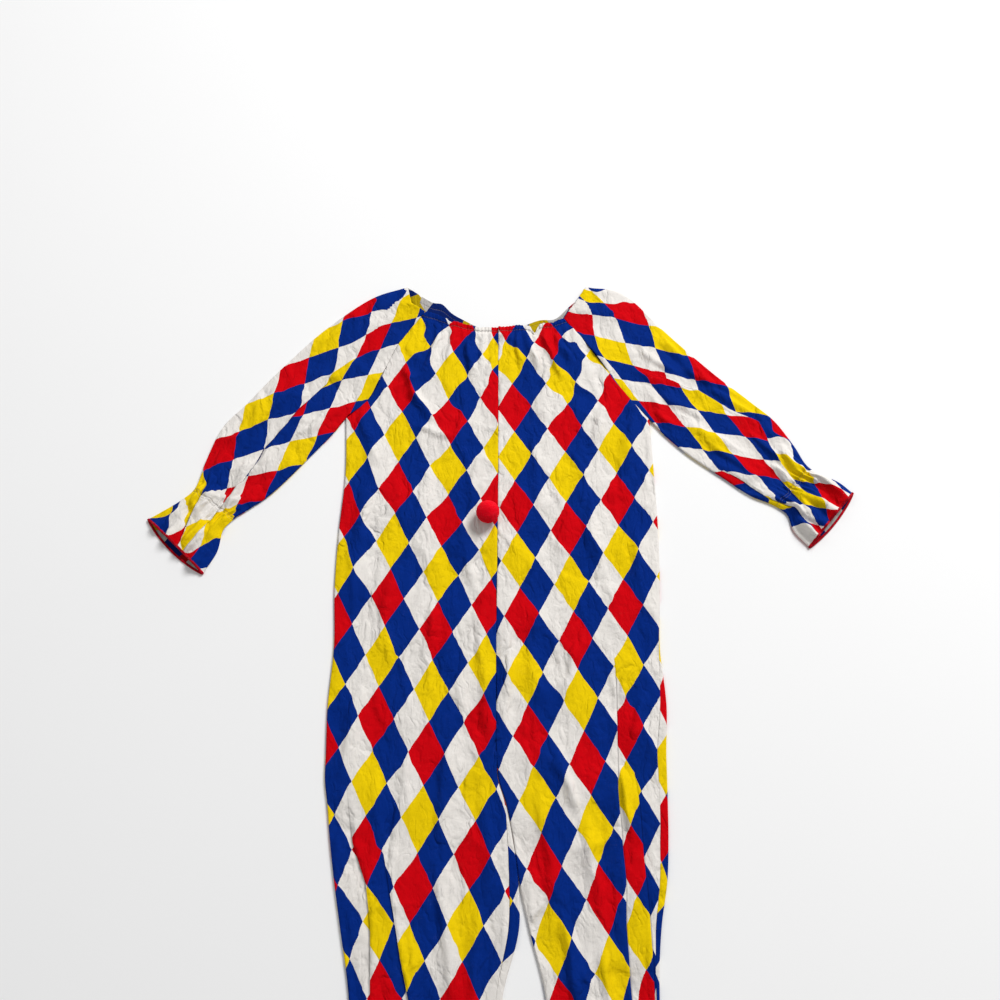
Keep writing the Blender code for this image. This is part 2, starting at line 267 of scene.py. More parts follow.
# rows from the neck to the hem: inner edge x, y, outer edge x, y, how far the seam at each edge
# is rolled under, and whether the cloth turns over there (1) or is sewn on flat (0)
rightRows = [
    (0.000, 0.789, -0.132, 0.822, 0.0, 0.0, 0, 0),
    (0.000, 0.752, -0.160, 0.783, 0.0, 0.0, 0, 0),
    (0.000, 0.713, -0.184, 0.742, 0.0, 0.0, 0, 0),
    (0.000, 0.672, -0.205, 0.693, 0.0, 0.0, 0, 0),
    (0.000, 0.632, -0.229, 0.641, 0.0, 0.0, 0, 0),
    (0.000, 0.598, -0.264, 0.608, 0.0, 0.0, 0, 1),
    (0.000, 0.500, -0.259, 0.500, 0.0, 0.0, 0, 1),
    (-0.001, 0.400, -0.264, 0.400, 0.0, 0.0, 0, 1),
    (-0.002, 0.300, -0.265, 0.300, 0.0, 0.0, 0, 1),
    (-0.003, 0.205, -0.260, 0.205, 0.0, 0.0, 0, 1),
    (-0.003, 0.110, -0.264, 0.110, 0.0, 0.0, 0, 1),
    (-0.002, 0.035, -0.262, 0.035, 0.0, 0.0, 0, 1),
    (0.000, 0.000, -0.261, 0.000, 0.0, 0.0, 1, 1),
    (0.010, -0.030, -0.256, -0.030, 0.002, 0.0, 1, 1),
    (0.021, -0.080, -0.249, -0.080, 0.009, 0.0, 1, 1),
    (0.030, -0.145, -0.238, -0.145, 0.015, 0.0, 1, 1),
    (0.031, -0.200, -0.227, -0.200, 0.017, 0.0, 1, 1),
    (0.006, -0.298, -0.208, -0.298, 0.010, 0.0, 1, 1),
    (0.002, -0.370, -0.203, -0.370, 0.003, 0.0, 1, 1),
    (0.000, -0.470, -0.200, -0.470, 0.0, 0.0, 1, 1),
    (-0.001, -0.640, -0.199, -0.640, 0.0, 0.0, 1, 1),
]
leftRows = [
    (0.000, 0.789, 0.118, 0.808, 0.0, 0.0, 0, 0),
    (0.000, 0.752, 0.143, 0.775, 0.0, 0.0, 0, 0),
    (0.000, 0.713, 0.169, 0.738, 0.0, 0.0, 0, 0),
    (0.000, 0.672, 0.196, 0.697, 0.0, 0.0, 0, 0),
    (0.000, 0.632, 0.224, 0.653, 0.0, 0.0, 0, 0),
    (0.000, 0.598, 0.262, 0.605, 0.0, 0.0, 0, 1),
    (0.000, 0.500, 0.264, 0.500, 0.0, 0.0, 0, 1),
    (-0.001, 0.400, 0.265, 0.400, 0.0, 0.0, 0, 1),
    (-0.002, 0.300, 0.262, 0.300, 0.0, 0.0, 0, 1),
    (-0.003, 0.205, 0.256, 0.205, 0.0, 0.003, 0, 1),
    (-0.003, 0.110, 0.261, 0.110, 0.0, 0.012, 0, 1),
    (-0.002, 0.035, 0.256, 0.035, 0.0, 0.016, 0, 1),
    (0.001, 0.000, 0.255, 0.000, 0.0, 0.015, 1, 1),
    (0.011, -0.030, 0.254, -0.030, 0.0, 0.014, 1, 1),
    (0.022, -0.080, 0.252, -0.080, 0.0, 0.014, 1, 1),
    (0.031, -0.145, 0.246, -0.145, 0.0, 0.013, 1, 1),
    (0.043, -0.200, 0.235, -0.200, 0.0, 0.010, 1, 1),
    (0.067, -0.298, 0.226, -0.298, 0.0, 0.006, 1, 1),
    (0.069, -0.370, 0.226, -0.370, 0.0, 0.003, 1, 1),
    (0.065, -0.470, 0.231, -0.470, 0.0, 0.0, 1, 1),
    (0.057, -0.640, 0.241, -0.640, 0.0, 0.0, 1, 1),
]
armpitRow = 5
backNeck = {"innerY": 0.776, "right": (-0.140, 0.857), "left": (0.140, 0.846)}

frontRight = {
    "name": "front_right_cloth",
    "node": "front_right",
    "rows": rightRows,
    "bow": 2.0,
    "flat": (0.35, 1.45), "area": 0.349,
    # where the print lies: cells across and down, as const, x, y, xy, yy
    "cellsAcross": (0.567, 18.479, -1.203, -0.066, 0.714),
    "cellsDown": (5.851, -0.565, -10.612, -1.440, -0.057),
    # tucks: x, y, cloth hidden; the outer side has slid under
    "tucks": [
        {"side": -1, "step": 0.0032, "line": [
            (-0.226, -0.010, 0.000), (-0.221, -0.045, 0.007), (-0.214, -0.090, 0.012),
            (-0.192, -0.146, 0.016), (-0.183, -0.200, 0.014), (-0.180, -0.260, 0.012),
            (-0.176, -0.340, 0.000)]},
        {"side": -1, "step": 0.0040, "line": [
            (-0.170, -0.095, 0.000), (-0.160, -0.140, 0.012), (-0.150, -0.187, 0.028),
            (-0.138, -0.245, 0.045), (-0.124, -0.300, 0.055), (-0.115, -0.400, 0.030),
            (-0.110, -0.500, 0.000)]},
    ],
    # folds: start, end, height, half width, lean
    "folds": [
        (-0.105, 0.776, -0.130, 0.701, 0.0026, 0.008, 0.3),
        (-0.078, 0.770, -0.091, 0.715, 0.0022, 0.007, -0.2),
        (-0.056, 0.766, -0.050, 0.700, 0.0024, 0.008, 0.3),
        (-0.028, 0.766, -0.031, 0.712, 0.0020, 0.007, 0.0),
        (-0.165, 0.705, -0.146, 0.640, 0.0034, 0.009, 0.4),
        (-0.152, 0.661, -0.112, 0.606, 0.0030, 0.009, -0.3),
        (-0.139, 0.589, -0.080, 0.569, 0.0020, 0.008, 0.2),
        (-0.235, 0.610, -0.205, 0.520, 0.0030, 0.014, 0.2),
        (-0.215, 0.480, -0.232, 0.330, 0.0024, 0.012, -0.3),
        (-0.120, 0.520, -0.135, 0.400, 0.0018, 0.014, 0.3),
        (-0.060, 0.420, -0.040, 0.300, 0.0018, 0.012, -0.2),
        (-0.170, 0.330, -0.190, 0.190, 0.0022, 0.015, 0.2),
        (-0.105, 0.260, -0.110, 0.120, 0.0020, 0.013, -0.3),
        (-0.030, 0.235, -0.016, 0.060, 0.0032, 0.013, 0.4),
        (-0.215, 0.150, -0.235, 0.010, 0.0026, 0.014, 0.2),
        (-0.075, 0.060, -0.090, -0.090, 0.0026, 0.014, 0.3),
        (-0.020, -0.020, -0.005, -0.160, 0.0030, 0.012, -0.3),
        (-0.090, -0.110, -0.062, -0.300, 0.0030, 0.014, 0.3),
        (-0.030, -0.180, -0.035, -0.330, 0.0026, 0.012, -0.2),
        (-0.150, -0.380, -0.150, -0.600, 0.0026, 0.015, 0.2),
        (-0.070, -0.360, -0.060, -0.560, 0.0030, 0.015, -0.2),
    ],
    # where gathers and seams have drawn the print along: x, y, across, down
    "pulls": [
        (-0.131, 0.805, -0.025, 0.014), (-0.121, 0.754, -0.019, -0.008),
        (-0.163, 0.722, -0.003, 0.003), (-0.171, 0.744, -0.010, -0.004),
        (-0.111, 0.697, -0.003, -0.015), (-0.144, 0.657, 0.003, -0.011),
        (-0.085, 0.799, -0.027, -0.006), (-0.078, 0.743, -0.007, -0.013),
        (-0.042, 0.789, -0.016, -0.006), (-0.026, 0.733, -0.005, -0.013),
        (-0.053, 0.695, -0.005, -0.007), (-0.086, 0.646, 0.001, -0.013),
        (-0.009, 0.765, 0.008, -0.020), (-0.005, 0.711, 0.004, 0.012),
        (-0.024, 0.552, -0.010, -0.004), (-0.054, 0.512, -0.008, -0.002),
        (-0.030, 0.460, -0.008, -0.003), (-0.061, 0.416, -0.004, -0.002),
        (-0.083, 0.466, -0.007, -0.002), (-0.032, 0.368, -0.009, 0.001),
        (-0.082, 0.560, -0.006, -0.005), (-0.054, 0.602, -0.008, -0.003),
        (-0.202, 0.475, 0.002, -0.007), (-0.233, 0.432, 0.004, -0.008),
        (-0.239, 0.336, 0.005, -0.005), (-0.143, 0.471, -0.002, -0.005),
        (-0.003, 0.585, -0.007, -0.002), (-0.003, 0.535, -0.007, -0.002),
        (-0.003, 0.485, -0.007, -0.002), (-0.003, 0.435, -0.006, -0.001),
        (-0.003, 0.385, -0.006, 0.000), (-0.003, 0.335, -0.004, 0.000),
    ],
    "dips": [(-0.086, 0.004, 0.005), (-0.036, 0.003, 0.008), (-0.115, -0.004, 0.014)],
    "seed": 11,
}

frontLeft = {
    "name": "front_left_cloth",
    "node": "front_left",
    "rows": leftRows,
    "bow": 2.0,
    "flat": (0.31, 1.45), "area": 0.323,
    "cellsAcross": (-1.030, 18.455, 1.741, -1.874, -1.356),
    "cellsDown": (5.656, 0.788, -10.448, 0.137, -0.293),
    "tucks": [
        {"side": 1, "step": 0.0036, "line": [
            (0.179, 0.215, 0.000), (0.183, 0.174, 0.005), (0.184, 0.121, 0.012),
            (0.182, 0.037, 0.020), (0.180, -0.013, 0.024), (0.183, -0.088, 0.027),
            (0.186, -0.136, 0.029), (0.184, -0.205, 0.033), (0.186, -0.271, 0.035),
            (0.190, -0.360, 0.022), (0.192, -0.460, 0.000)]},
        {"side": 1, "step": 0.0030, "line": [
            (0.205, 0.020, 0.000), (0.210, -0.020, 0.008), (0.213, -0.083, 0.012),
            (0.215, -0.140, 0.016), (0.218, -0.184, 0.022), (0.219, -0.246, 0.028),
            (0.219, -0.296, 0.030), (0.221, -0.400, 0.000)]},
    ],
    "folds": [
        (0.030, 0.770, 0.039, 0.713, 0.0022, 0.007, 0.2),
        (0.053, 0.766, 0.074, 0.701, 0.0026, 0.008, -0.3),
        (0.077, 0.776, 0.112, 0.685, 0.0034, 0.009, 0.4),
        (0.098, 0.776, 0.131, 0.718, 0.0024, 0.008, -0.2),
        (0.190, 0.640, 0.160, 0.560, 0.0024, 0.012, 0.2),
        (0.235, 0.600, 0.215, 0.500, 0.0026, 0.013, -0.3),
        (0.060, 0.560, 0.070, 0.430, 0.0018, 0.014, 0.3),
        (0.150, 0.470, 0.165, 0.330, 0.0022, 0.014, -0.2),
        (0.225, 0.400, 0.235, 0.260, 0.0024, 0.013, 0.2),
        (0.020, 0.235, 0.010, 0.060, 0.0034, 0.012, -0.4),
        (0.122, 0.205, 0.104, 0.126, 0.0030, 0.010, 0.3),
        (0.060, 0.260, 0.055, 0.120, 0.0018, 0.012, 0.2),
        (0.090, 0.040, 0.118, -0.040, 0.0030, 0.010, -0.3),
        (0.185, 0.012, 0.194, -0.075, 0.0040, 0.006, 0.4),
        (0.225, 0.130, 0.205, 0.060, 0.0024, 0.009, 0.3),
        (0.060, -0.020, 0.085, -0.160, 0.0026, 0.013, 0.2),
        (0.130, -0.060, 0.150, -0.200, 0.0026, 0.012, -0.3),
        (0.095, -0.190, 0.110, -0.300, 0.0034, 0.011, 0.3),
        (0.150, -0.230, 0.158, -0.340, 0.0030, 0.010, -0.3),
        (0.110, -0.380, 0.120, -0.590, 0.0028, 0.015, 0.2),
        (0.185, -0.430, 0.190, -0.610, 0.0026, 0.014, -0.2),
    ],
    "pulls": [
        (-0.004, 0.717, 0.005, -0.009), (0.013, 0.765, 0.017, -0.006),
        (0.051, 0.730, 0.007, 0.004), (0.025, 0.679, 0.003, 0.000),
        (0.063, 0.760, 0.025, -0.016), (0.035, 0.792, 0.023, -0.012),
        (0.095, 0.722, 0.022, -0.010), (0.111, 0.771, 0.033, -0.005),
        (0.090, 0.798, 0.030, -0.014), (0.151, 0.732, 0.021, 0.000),
        (0.135, 0.682, 0.009, -0.007), (0.084, 0.677, 0.002, -0.005),
        (0.121, 0.641, -0.007, -0.003), (0.191, 0.694, 0.008, 0.007),
        (0.172, 0.646, -0.002, 0.002),
    ],
    "dips": [(0.065, 0.017, 0.006), (0.034, -0.003, 0.012), (0.098, 0.003, 0.007)],
    "seed": 23,
}

backRight = {
    "name": "back_right_cloth",
    "node": "back_right",
    "rows": rightRows,
    "bow": 1.2,
    "flat": (0.29, 1.5), "area": 0.346,
    "cellsAcross": (-0.13, -18.5, 0.45, 0.0, 0.0),
    "cellsDown": (4.70, 0.40, -10.55, 0.0, 0.0),
    "folds": [
        (-0.200, 0.560, -0.215, 0.380, 0.0010, 0.015, 0.2),
        (-0.060, 0.440, -0.075, 0.250, 0.0010, 0.015, -0.2),
        (-0.150, 0.180, -0.160, -0.020, 0.0011, 0.016, 0.3),
        (-0.080, -0.120, -0.060, -0.330, 0.0011, 0.015, -0.3),
        (-0.150, -0.360, -0.140, -0.580, 0.0010, 0.016, 0.2),
    ],
    "dips": [(-0.102, -0.009, 0.012)],
    "pulls": [(-0.088, 0.800, 0.018, -0.011), (-0.105, 0.812, 0.000, 0.000),
              (-0.135, 0.832, -0.012, 0.006)],
    "seed": 37,
}

backLeft = {
    "name": "back_left_cloth",
    "node": "back_left",
    "rows": leftRows,
    "bow": 1.2,
    "flat": (0.275, 1.49), "area": 0.32,
    "cellsAcross": (4.773, -18.5, -0.488, 0.0, 0.0),
    "cellsDown": (2.266, 0.00, -10.55, 0.0, 0.0),
    "folds": [
        (0.190, 0.540, 0.205, 0.360, 0.0010, 0.015, 0.2),
        (0.070, 0.470, 0.060, 0.270, 0.0010, 0.015, -0.2),
        (0.160, 0.160, 0.150, -0.040, 0.0011, 0.016, 0.3),
        (0.110, -0.130, 0.130, -0.320, 0.0011, 0.015, -0.3),
        (0.170, -0.380, 0.165, -0.590, 0.0010, 0.016, 0.2),
    ],
    "dips": [(0.104, 0.015, 0.022)],
    "seed": 41,
}

gathers = {                  # the elastic in the neck casing
    "casing": 0.0105,        # depth of the casing
    "finePitch": 0.0062, "fineHeight": 0.0008,
    "pitch": 0.0165, "height": 0.0042, "reach": 0.062,
    "onset": 0.010,          # below the casing, where the wide pleats start
    "fineBelow": 0.006,      # how far the fine pleats run on below it
    "groove": 0.0014, "grooveWide": 0.0016,
    "proud": 0.0007,         # how far the casing stands up
}

seams = {
    "wide": 0.0016, "deep": 0.0007,               # the groove along a seam
    "pucker": 0.0005, "puckerPitch": 0.013,
}

# rows of stitches: the neck casing and the leg hems from their edges, the wrist elastic's two rows
stitching = {
    "casing": 0.0085, "hem": 0.014, "elastic": 0.0022,
    "pitch": 0.0031, "filled": 0.68, "wide": 0.00036,
    "shown": 0.34, "colour": (0.30, 0.27, 0.26),
    "high": 0.0002, "groove": 0.0007, "grooveWide": 0.0016,
}


def printPlace(x, y, across, down, pulls):
    # the flat cloth's own coordinates, in metres
    terms = (1.0, x, y, x * y, y * y)
    moved = pullPrint(x, y, pulls, pulling["panel"])
    u = sum(k * term for k, term in zip(across, terms)) * diamond["wide"] + moved[0]
    v = sum(k * term for k, term in zip(down, terms)) * diamond["high"] + moved[1]
    return u, v


def gatherRelief(fromNeck, alongNeck, seed):
    # pleats drawn in by the elastic: fine on the casing, wider below, dying away down the chest
    draw = np.random.default_rng(seed)
    phase = draw.uniform(0, 2 * math.pi)
    drift = 0.9 * np.sin(alongNeck * 61 + phase) + 0.6 * np.sin(alongNeck * 143 + 2 * phase)
    fine = np.sin(alongNeck * 2 * math.pi / gathers["finePitch"] + drift)
    wide = np.sin(alongNeck * 2 * math.pi / gathers["pitch"] + drift * 1.3)
    below = fromNeck - gathers["casing"]
    onCasing = easeStep(1.3 - fromNeck / gathers["casing"])
    fadeWide = easeStep(below / gathers["onset"])
    fadeWide *= np.exp(-np.maximum(below, 0) / (0.42 * gathers["reach"]))
    lift = gathers["fineHeight"] * fine * (
        onCasing + 0.8 * np.exp(-np.abs(below) / gathers["fineBelow"]))
    lift += gathers["height"] * (0.5 + 0.5 * wide) * fadeWide
    lift -= gathers["groove"] * np.exp(-(below / gathers["grooveWide"])**2)
    lift += gathers["proud"] * onCasing
    return lift


def flatGrid(name, rows, columns):
    # a flat grid, with each point's row and column and the point at each corner of a face
    shape = bmesh.new()
    bmesh.ops.create_grid(shape, x_segments=columns - 1, y_segments=rows - 1, size=0.5)
    mesh = bpy.data.meshes.new(name)
    shape.to_mesh(mesh)
    shape.free()
    flat = np.empty(len(mesh.vertices) * 3)
    mesh.vertices.foreach_get("co", flat)
    flat = flat.reshape(-1, 3)
    column = np.rint((flat[:, 0] + 0.5) * (columns - 1)).astype(int)
    row = np.rint((flat[:, 1] + 0.5) * (rows - 1)).astype(int)
    corner = np.empty(len(mesh.loops), dtype=np.int32)
    mesh.loops.foreach_get("vertex_index", corner)
    return mesh, row, column, corner


def closeSeam(mesh):
    # joins the points that meet where a grid has been bent round
    shape = bmesh.new()
    shape.from_mesh(mesh)
    bmesh.ops.remove_doubles(shape, verts=shape.verts, dist=1e-6)
    bmesh.ops.recalc_face_normals(shape, faces=shape.faces)
    shape.to_mesh(mesh)
    shape.free()
    mesh.shade_smooth()


def gridMesh(name, x, y, z, u, v, tucks, stitched, material, inside):
    # a flat grid, its points moved to x, y, z, and its map set to the cloth's own coordinates.
    # Each tuck adds a jump of the map beyond its line, kept apart so that the line stays sharp.
    mesh, row, column, corner = flatGrid(name, *x.shape)
    places = np.stack([x[row, column] + crotch[0], y[row, column] + crotch[1],
                       z[row, column]], axis=1)
    mesh.vertices.foreach_set("co", places.ravel())

    def addMap(title, first, second):
        pairs = np.stack([first[row, column][corner], second[row, column][corner]], axis=1)
        mesh.uv_layers.new(name=title).data.foreach_set("uv", pairs.ravel())

    addMap("cloth", u, v)
    nothing = (np.full(x.shape, -1.0), np.zeros(x.shape), np.zeros(x.shape))
    tucks = (list(tucks) + [nothing] * 2)[:2]
    addMap("gaps", tucks[0][0], tucks[1][0])
    for index, (_, across, down) in enumerate(tucks):
        addMap("jump%d" % (index + 1), across, down)
    addMap("stitched", *stitched)
    mesh.materials.append(material)
    mesh.materials.append(inside)
    mesh.shade_smooth()
    return mesh


def shellOf(name, mesh, outwardUp, middle=None):
    # the thin wall, grown inwards from the outer face
    middle = middle or mesh.polygons[len(mesh.polygons) // 2]
    if (middle.normal.z > 0) != outwardUp:
        mesh.flip_normals()
    piece = bpy.data.objects.new(name, mesh)
    bpy.context.collection.objects.link(piece)
    wall = piece.modifiers.new("wall", "SOLIDIFY")
    wall.thickness = cloth["thick"]
    wall.offset = -1.0
    wall.material_offset = 1
    wall.material_offset_rim = 0
    return piece


def panelRows(settings, back):
    rows = [list(row) for row in settings["rows"]]
    if back:
        side = "right" if rows[0][2] < 0 else "left"
        rows[0][1] = backNeck["innerY"]
        rows[0][2:4] = backNeck[side]
    return np.array(rows, float)


def makePanel(settings, back, material, inside):
    table = panelRows(settings, back)
    sideways = 1.0 if table[0, 2] > 0 else -1.0
    pitch = cloth["hiddenPitch"] if back else cloth["pitch"]
    middles = 0.5 * (table[:, 0:2] + table[:, 2:4])
    stops = np.concatenate([[0.0], np.cumsum(np.linalg.norm(np.diff(middles, axis=0), axis=1))])
    nearNeck = np.arange(0.0, cloth["neckDepth"], cloth["neckPitch"])
    rest = np.linspace(cloth["neckDepth"], stops[-1],
                       int((stops[-1] - cloth["neckDepth"]) / pitch))
    at = np.concatenate([nearNeck, rest])
    wide = smoothRead(stops, table[:, :6], at, corners=(armpitRow,))
    turns = np.stack([np.interp(at, stops, table[:, 6]), np.interp(at, stops, table[:, 7])], 1)
    innerX, innerY, outerX, outerY, innerRoll, outerRoll = wide.T
    innerRoll, outerRoll = np.maximum(innerRoll, 0), np.maximum(outerRoll, 0)
    outerX = outerX - sideways * cloth["seamGap"]
    width = np.abs(outerX - innerX)

    def edge(roll, turned):
        # the columns beside one seam: distance in, height, share of the relief, way on the cloth
        if back:
            share = np.linspace(0, 1, cloth["edgeColumns"])
            reach = roll + cloth["turn"] * math.pi / 2 + 0.002
            distance = roll[:, None] - 0.5 * cloth["seamGap"] - reach[:, None] * share
            inward, height = edgeProfile(distance)
            flatIn = np.broadcast_to(0.5 * cloth["seamGap"] + 0.006 * share, inward.shape)
            flatHeight = 0.0
            onCloth = -distance
        else:
            distance = roll[:, None] + 0.5 * cloth["seamGap"] + edgeStops
            inward, height = edgeProfile(distance)
            flatIn = np.broadcast_to(0.5 * cloth["seamGap"] + edgeStops, inward.shape)
            flatHeight = upperLevel
            onCloth = inward
        blend = turned[:, None]
        level = easeStep(inward / cloth["levelled"]) * blend + (1 - blend)
        return (blend * inward + (1 - blend) * flatIn,
                blend * height + (1 - blend) * flatHeight, level,
                blend * onCloth + (1 - blend) * flatIn)

    nearIn, nearHigh, nearLevel, nearCloth = edge(innerRoll, turns[:, 0])
    farIn, farHigh, farLevel, farCloth = edge(outerRoll, turns[:, 1])
    middleCount = int(cloth["columnsFor"] / pitch)
    share = np.linspace(0, 1, middleCount + 2)[1:-1]
    start, end = nearIn[:, -1:], width[:, None] - farIn[:, -1:]
    middle = start + (end - start) * share
    across = np.concatenate([nearIn, middle, width[:, None] - farIn[:, ::-1]], axis=1)
    high = np.concatenate([nearHigh, np.repeat(nearHigh[:, -1:], middleCount, 1),
                           farHigh[:, ::-1]], axis=1)
    level = np.concatenate([nearLevel, np.ones_like(middle), farLevel[:, ::-1]], axis=1)
    onCloth = np.concatenate([nearCloth, middle, width[:, None] - farCloth[:, ::-1]], axis=1)
    x = innerX[:, None] + sideways * across
    bowed = np.clip(across / width[:, None], 0, 1)**settings["bow"]
    y = innerY[:, None] + (outerY - innerY)[:, None] * bowed
    seed = settings["seed"]
    lift, push = foldRelief(x, y, settings["folds"])
    tucks = []
    if back:
        lift = np.clip(lift, 0.0, cloth["backRelief"])
        z = high + np.where(high < cloth["turn"], lift * level, 0.0)
    else:
        lift *= folds["panel"]
        addCrumples(lift, push, x, y, seed, crumples["area"]["panel"], (1.5, 1.3))
        lift += swellRelief(x, y, seed + 5, *swells["panel"])
        for tuck in settings["tucks"]:
            gap, hidden = tuckSplit(x, y, tuck["line"])
            gap = gap * tuckSide(tuck["line"], tuck["side"])
            tucks.append((gap, tuck["side"] * hidden, np.zeros_like(gap)))
            strength = np.minimum(hidden / ledges["full"], 1.0)
            lift += ledge(gap, tuck["step"] * strength, ledges["panelFade"])
            lift -= ditch(gap, strength)
        fromNeck = np.broadcast_to(at[:, None], x.shape)
        lift += gatherRelief(fromNeck, x, seed)
        centre = np.where(turns[:, 0:1] < 0.5, nearSeam(across), 0.0)
        raglan = np.where(turns[:, 1:2] < 0.5, nearSeam(width[:, None] - across), 0.0)
        pucker = seams["pucker"] * np.sin(y * 2 * math.pi / seams["puckerPitch"]
                                          + 3 * np.sin(y * 37))
        lift -= seams["deep"] * (centre + raglan) - pucker * (centre + raglan)**0.3
        z = high + lift * level
        z = np.where(high > cloth["turn"], np.maximum(z, cloth["lowest"]), z)
    y = y - neckDip(x, at[:, None], settings["dips"])
    u, v = printPlace(x + push[0] + sideways * (onCloth - across), y + push[1],
                      settings["cellsAcross"], settings["cellsDown"], settings.get("pulls", ()))
    downCloth = np.broadcast_to(at[:, None], x.shape)
    casing = downCloth - stitching["casing"]
    hem = stops[-1] - stitching["hem"] - downCloth
    stitched = (np.where(downCloth < 0.5 * stops[-1], casing, hem), onCloth)
    mesh = gridMesh(settings["name"], x, y, z, u, v, tucks, stitched, material, inside)
    piece = shellOf(settings["name"], mesh, outwardUp=not back)
    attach(piece, "root")
    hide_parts(settings["node"])
    return piece


def neckDip(x, fromNeck, dips):
    # the neck's edge sags between gathers: place, depth, half width
    low = sum(depth * np.exp(-((x - place) / wide)**2) for place, depth, wide in dips)
    return low * np.exp(-fromNeck / 0.020)


def nearSeam(distance):
    return np.exp(-(distance / seams["wide"])**2)


# the sleeves

sleeveRight = {
    "name": "sleeve_right_cloth",
    "node": "sleeve_right",
    "side": "right",
    "body": rightRows,
    "top": (-0.166, 0.876),
    "flat": (0.54, 0.65), "area": 0.19,
    # sections from the armhole: lower end, upper end, height of the ruffle's flutes
    "rows": [
        (-0.268, 0.602, -0.242, 0.843, 0.0000),
        (-0.273, 0.595, -0.315, 0.781, 0.0000),
        (-0.283, 0.580, -0.385, 0.703, 0.0000),
        (-0.326, 0.528, -0.437, 0.637, 0.0000),
        (-0.381, 0.466, -0.480, 0.581, 0.0004),
        (-0.412, 0.441, -0.498, 0.525, 0.0014),
        (-0.440, 0.420, -0.513, 0.472, 0.0012),
        (-0.455, 0.402, -0.533, 0.453, 0.0036),
        (-0.462, 0.362, -0.562, 0.433, 0.0070),
        (-0.481, 0.326, -0.582, 0.420, 0.0085),
    ],
    "wristRow": 6,
    "beyond": (-0.006, -0.008),       # how much farther the under layer reaches, in the middle
    # the print above the pleat and below it, and the line between
    "above": ((12.610, 14.210, -10.807), (4.784, -6.367, -8.829)),
    "below": ((16.196, 15.288, -14.749), (2.124, -9.396, -6.191)),
    "pleat": [
        (-0.225, 0.780), (-0.250, 0.742), (-0.272, 0.709), (-0.295, 0.681), (-0.349, 0.621),
        (-0.401, 0.548), (-0.414, 0.513), (-0.430, 0.486), (-0.440, 0.478), (-0.451, 0.459),
        (-0.468, 0.431), (-0.481, 0.412), (-0.498, 0.385), (-0.515, 0.362), (-0.530, 0.345)],
    "pleatSoft": 0.055, "pleatStart": 0.20, "pleatStep": 0.0034,
    "folds": [
        (-0.246, 0.723, -0.297, 0.679, 0.0030, 0.010, 0.3),
        (-0.300, 0.700, -0.355, 0.630, 0.0016, 0.012, 0.2),
        (-0.345, 0.680, -0.420, 0.590, 0.0020, 0.014, -0.3),
        (-0.290, 0.625, -0.330, 0.580, 0.0026, 0.009, 0.3),
        (-0.330, 0.600, -0.395, 0.500, 0.0024, 0.013, -0.2),
        (-0.380, 0.560, -0.425, 0.490, 0.0030, 0.008, 0.4),
        (-0.440, 0.585, -0.485, 0.500, 0.0024, 0.009, -0.3),
        (-0.420, 0.520, -0.452, 0.440, 0.0030, 0.007, 0.3),
        (-0.280, 0.790, -0.340, 0.740, 0.0020, 0.010, 0.2),
        (-0.500, 0.480, -0.512, 0.436, 0.0040, 0.008, 0.2),
        (-0.478, 0.472, -0.502, 0.420, 0.0036, 0.009, -0.2),
        (-0.486, 0.415, -0.516, 0.375, 0.0034, 0.009, 0.2),
        (-0.482, 0.398, -0.507, 0.362, 0.0030, 0.006, -0.2),
        (-0.452, 0.428, -0.476, 0.385, 0.0040, 0.008, 0.3),
        (-0.520, 0.430, -0.548, 0.385, 0.0036, 0.009, -0.3),
    ],
    # a second tuck, from the wrist into the ruffle; the side towards the upper edge slides under
    "tuck": {"side": -1, "jump": -1, "step": 0.0034, "line": [
        (-0.487, 0.505, 0.000), (-0.492, 0.474, 0.018), (-0.501, 0.449, 0.032),
        (-0.511, 0.421, 0.044), (-0.517, 0.400, 0.054), (-0.524, 0.373, 0.060),
        (-0.536, 0.350, 0.060)]},
    # the print drawn along by the wrist's elastic, above the pleat and below it
    "pulls": [
        (-0.551, 0.434, -0.032, 0.000), (-0.558, 0.406, -0.014, 0.024),
        (-0.532, 0.412, -0.003, 0.000), (-0.500, 0.394, 0.014, 0.000),
        (-0.486, 0.443, 0.004, 0.003), (-0.505, 0.457, 0.000, 0.003),
        (-0.475, 0.545, 0.000, 0.000),
        (-0.154, 0.818, -0.004, -0.004), (-0.175, 0.833, -0.033, -0.004),
        (-0.172, 0.854, 0.000, 0.008), (-0.158, 0.867, 0.010, -0.012),
        (-0.181, 0.872, -0.006, 0.014), (-0.200, 0.845, -0.004, 0.000),
        (-0.191, 0.800, 0.000, 0.000)],
    "neckEdge": [(-0.157, 0.836), (-0.161, 0.852)],
    "pullsBelow": [
        (-0.495, 0.376, -0.032, 0.005), (-0.462, 0.406, -0.008, 0.005),
        (-0.477, 0.359, -0.006, 0.010), (-0.443, 0.462, -0.004, 0.006),
        (-0.410, 0.474, 0.000, 0.000)],
    "seed": 53,
}

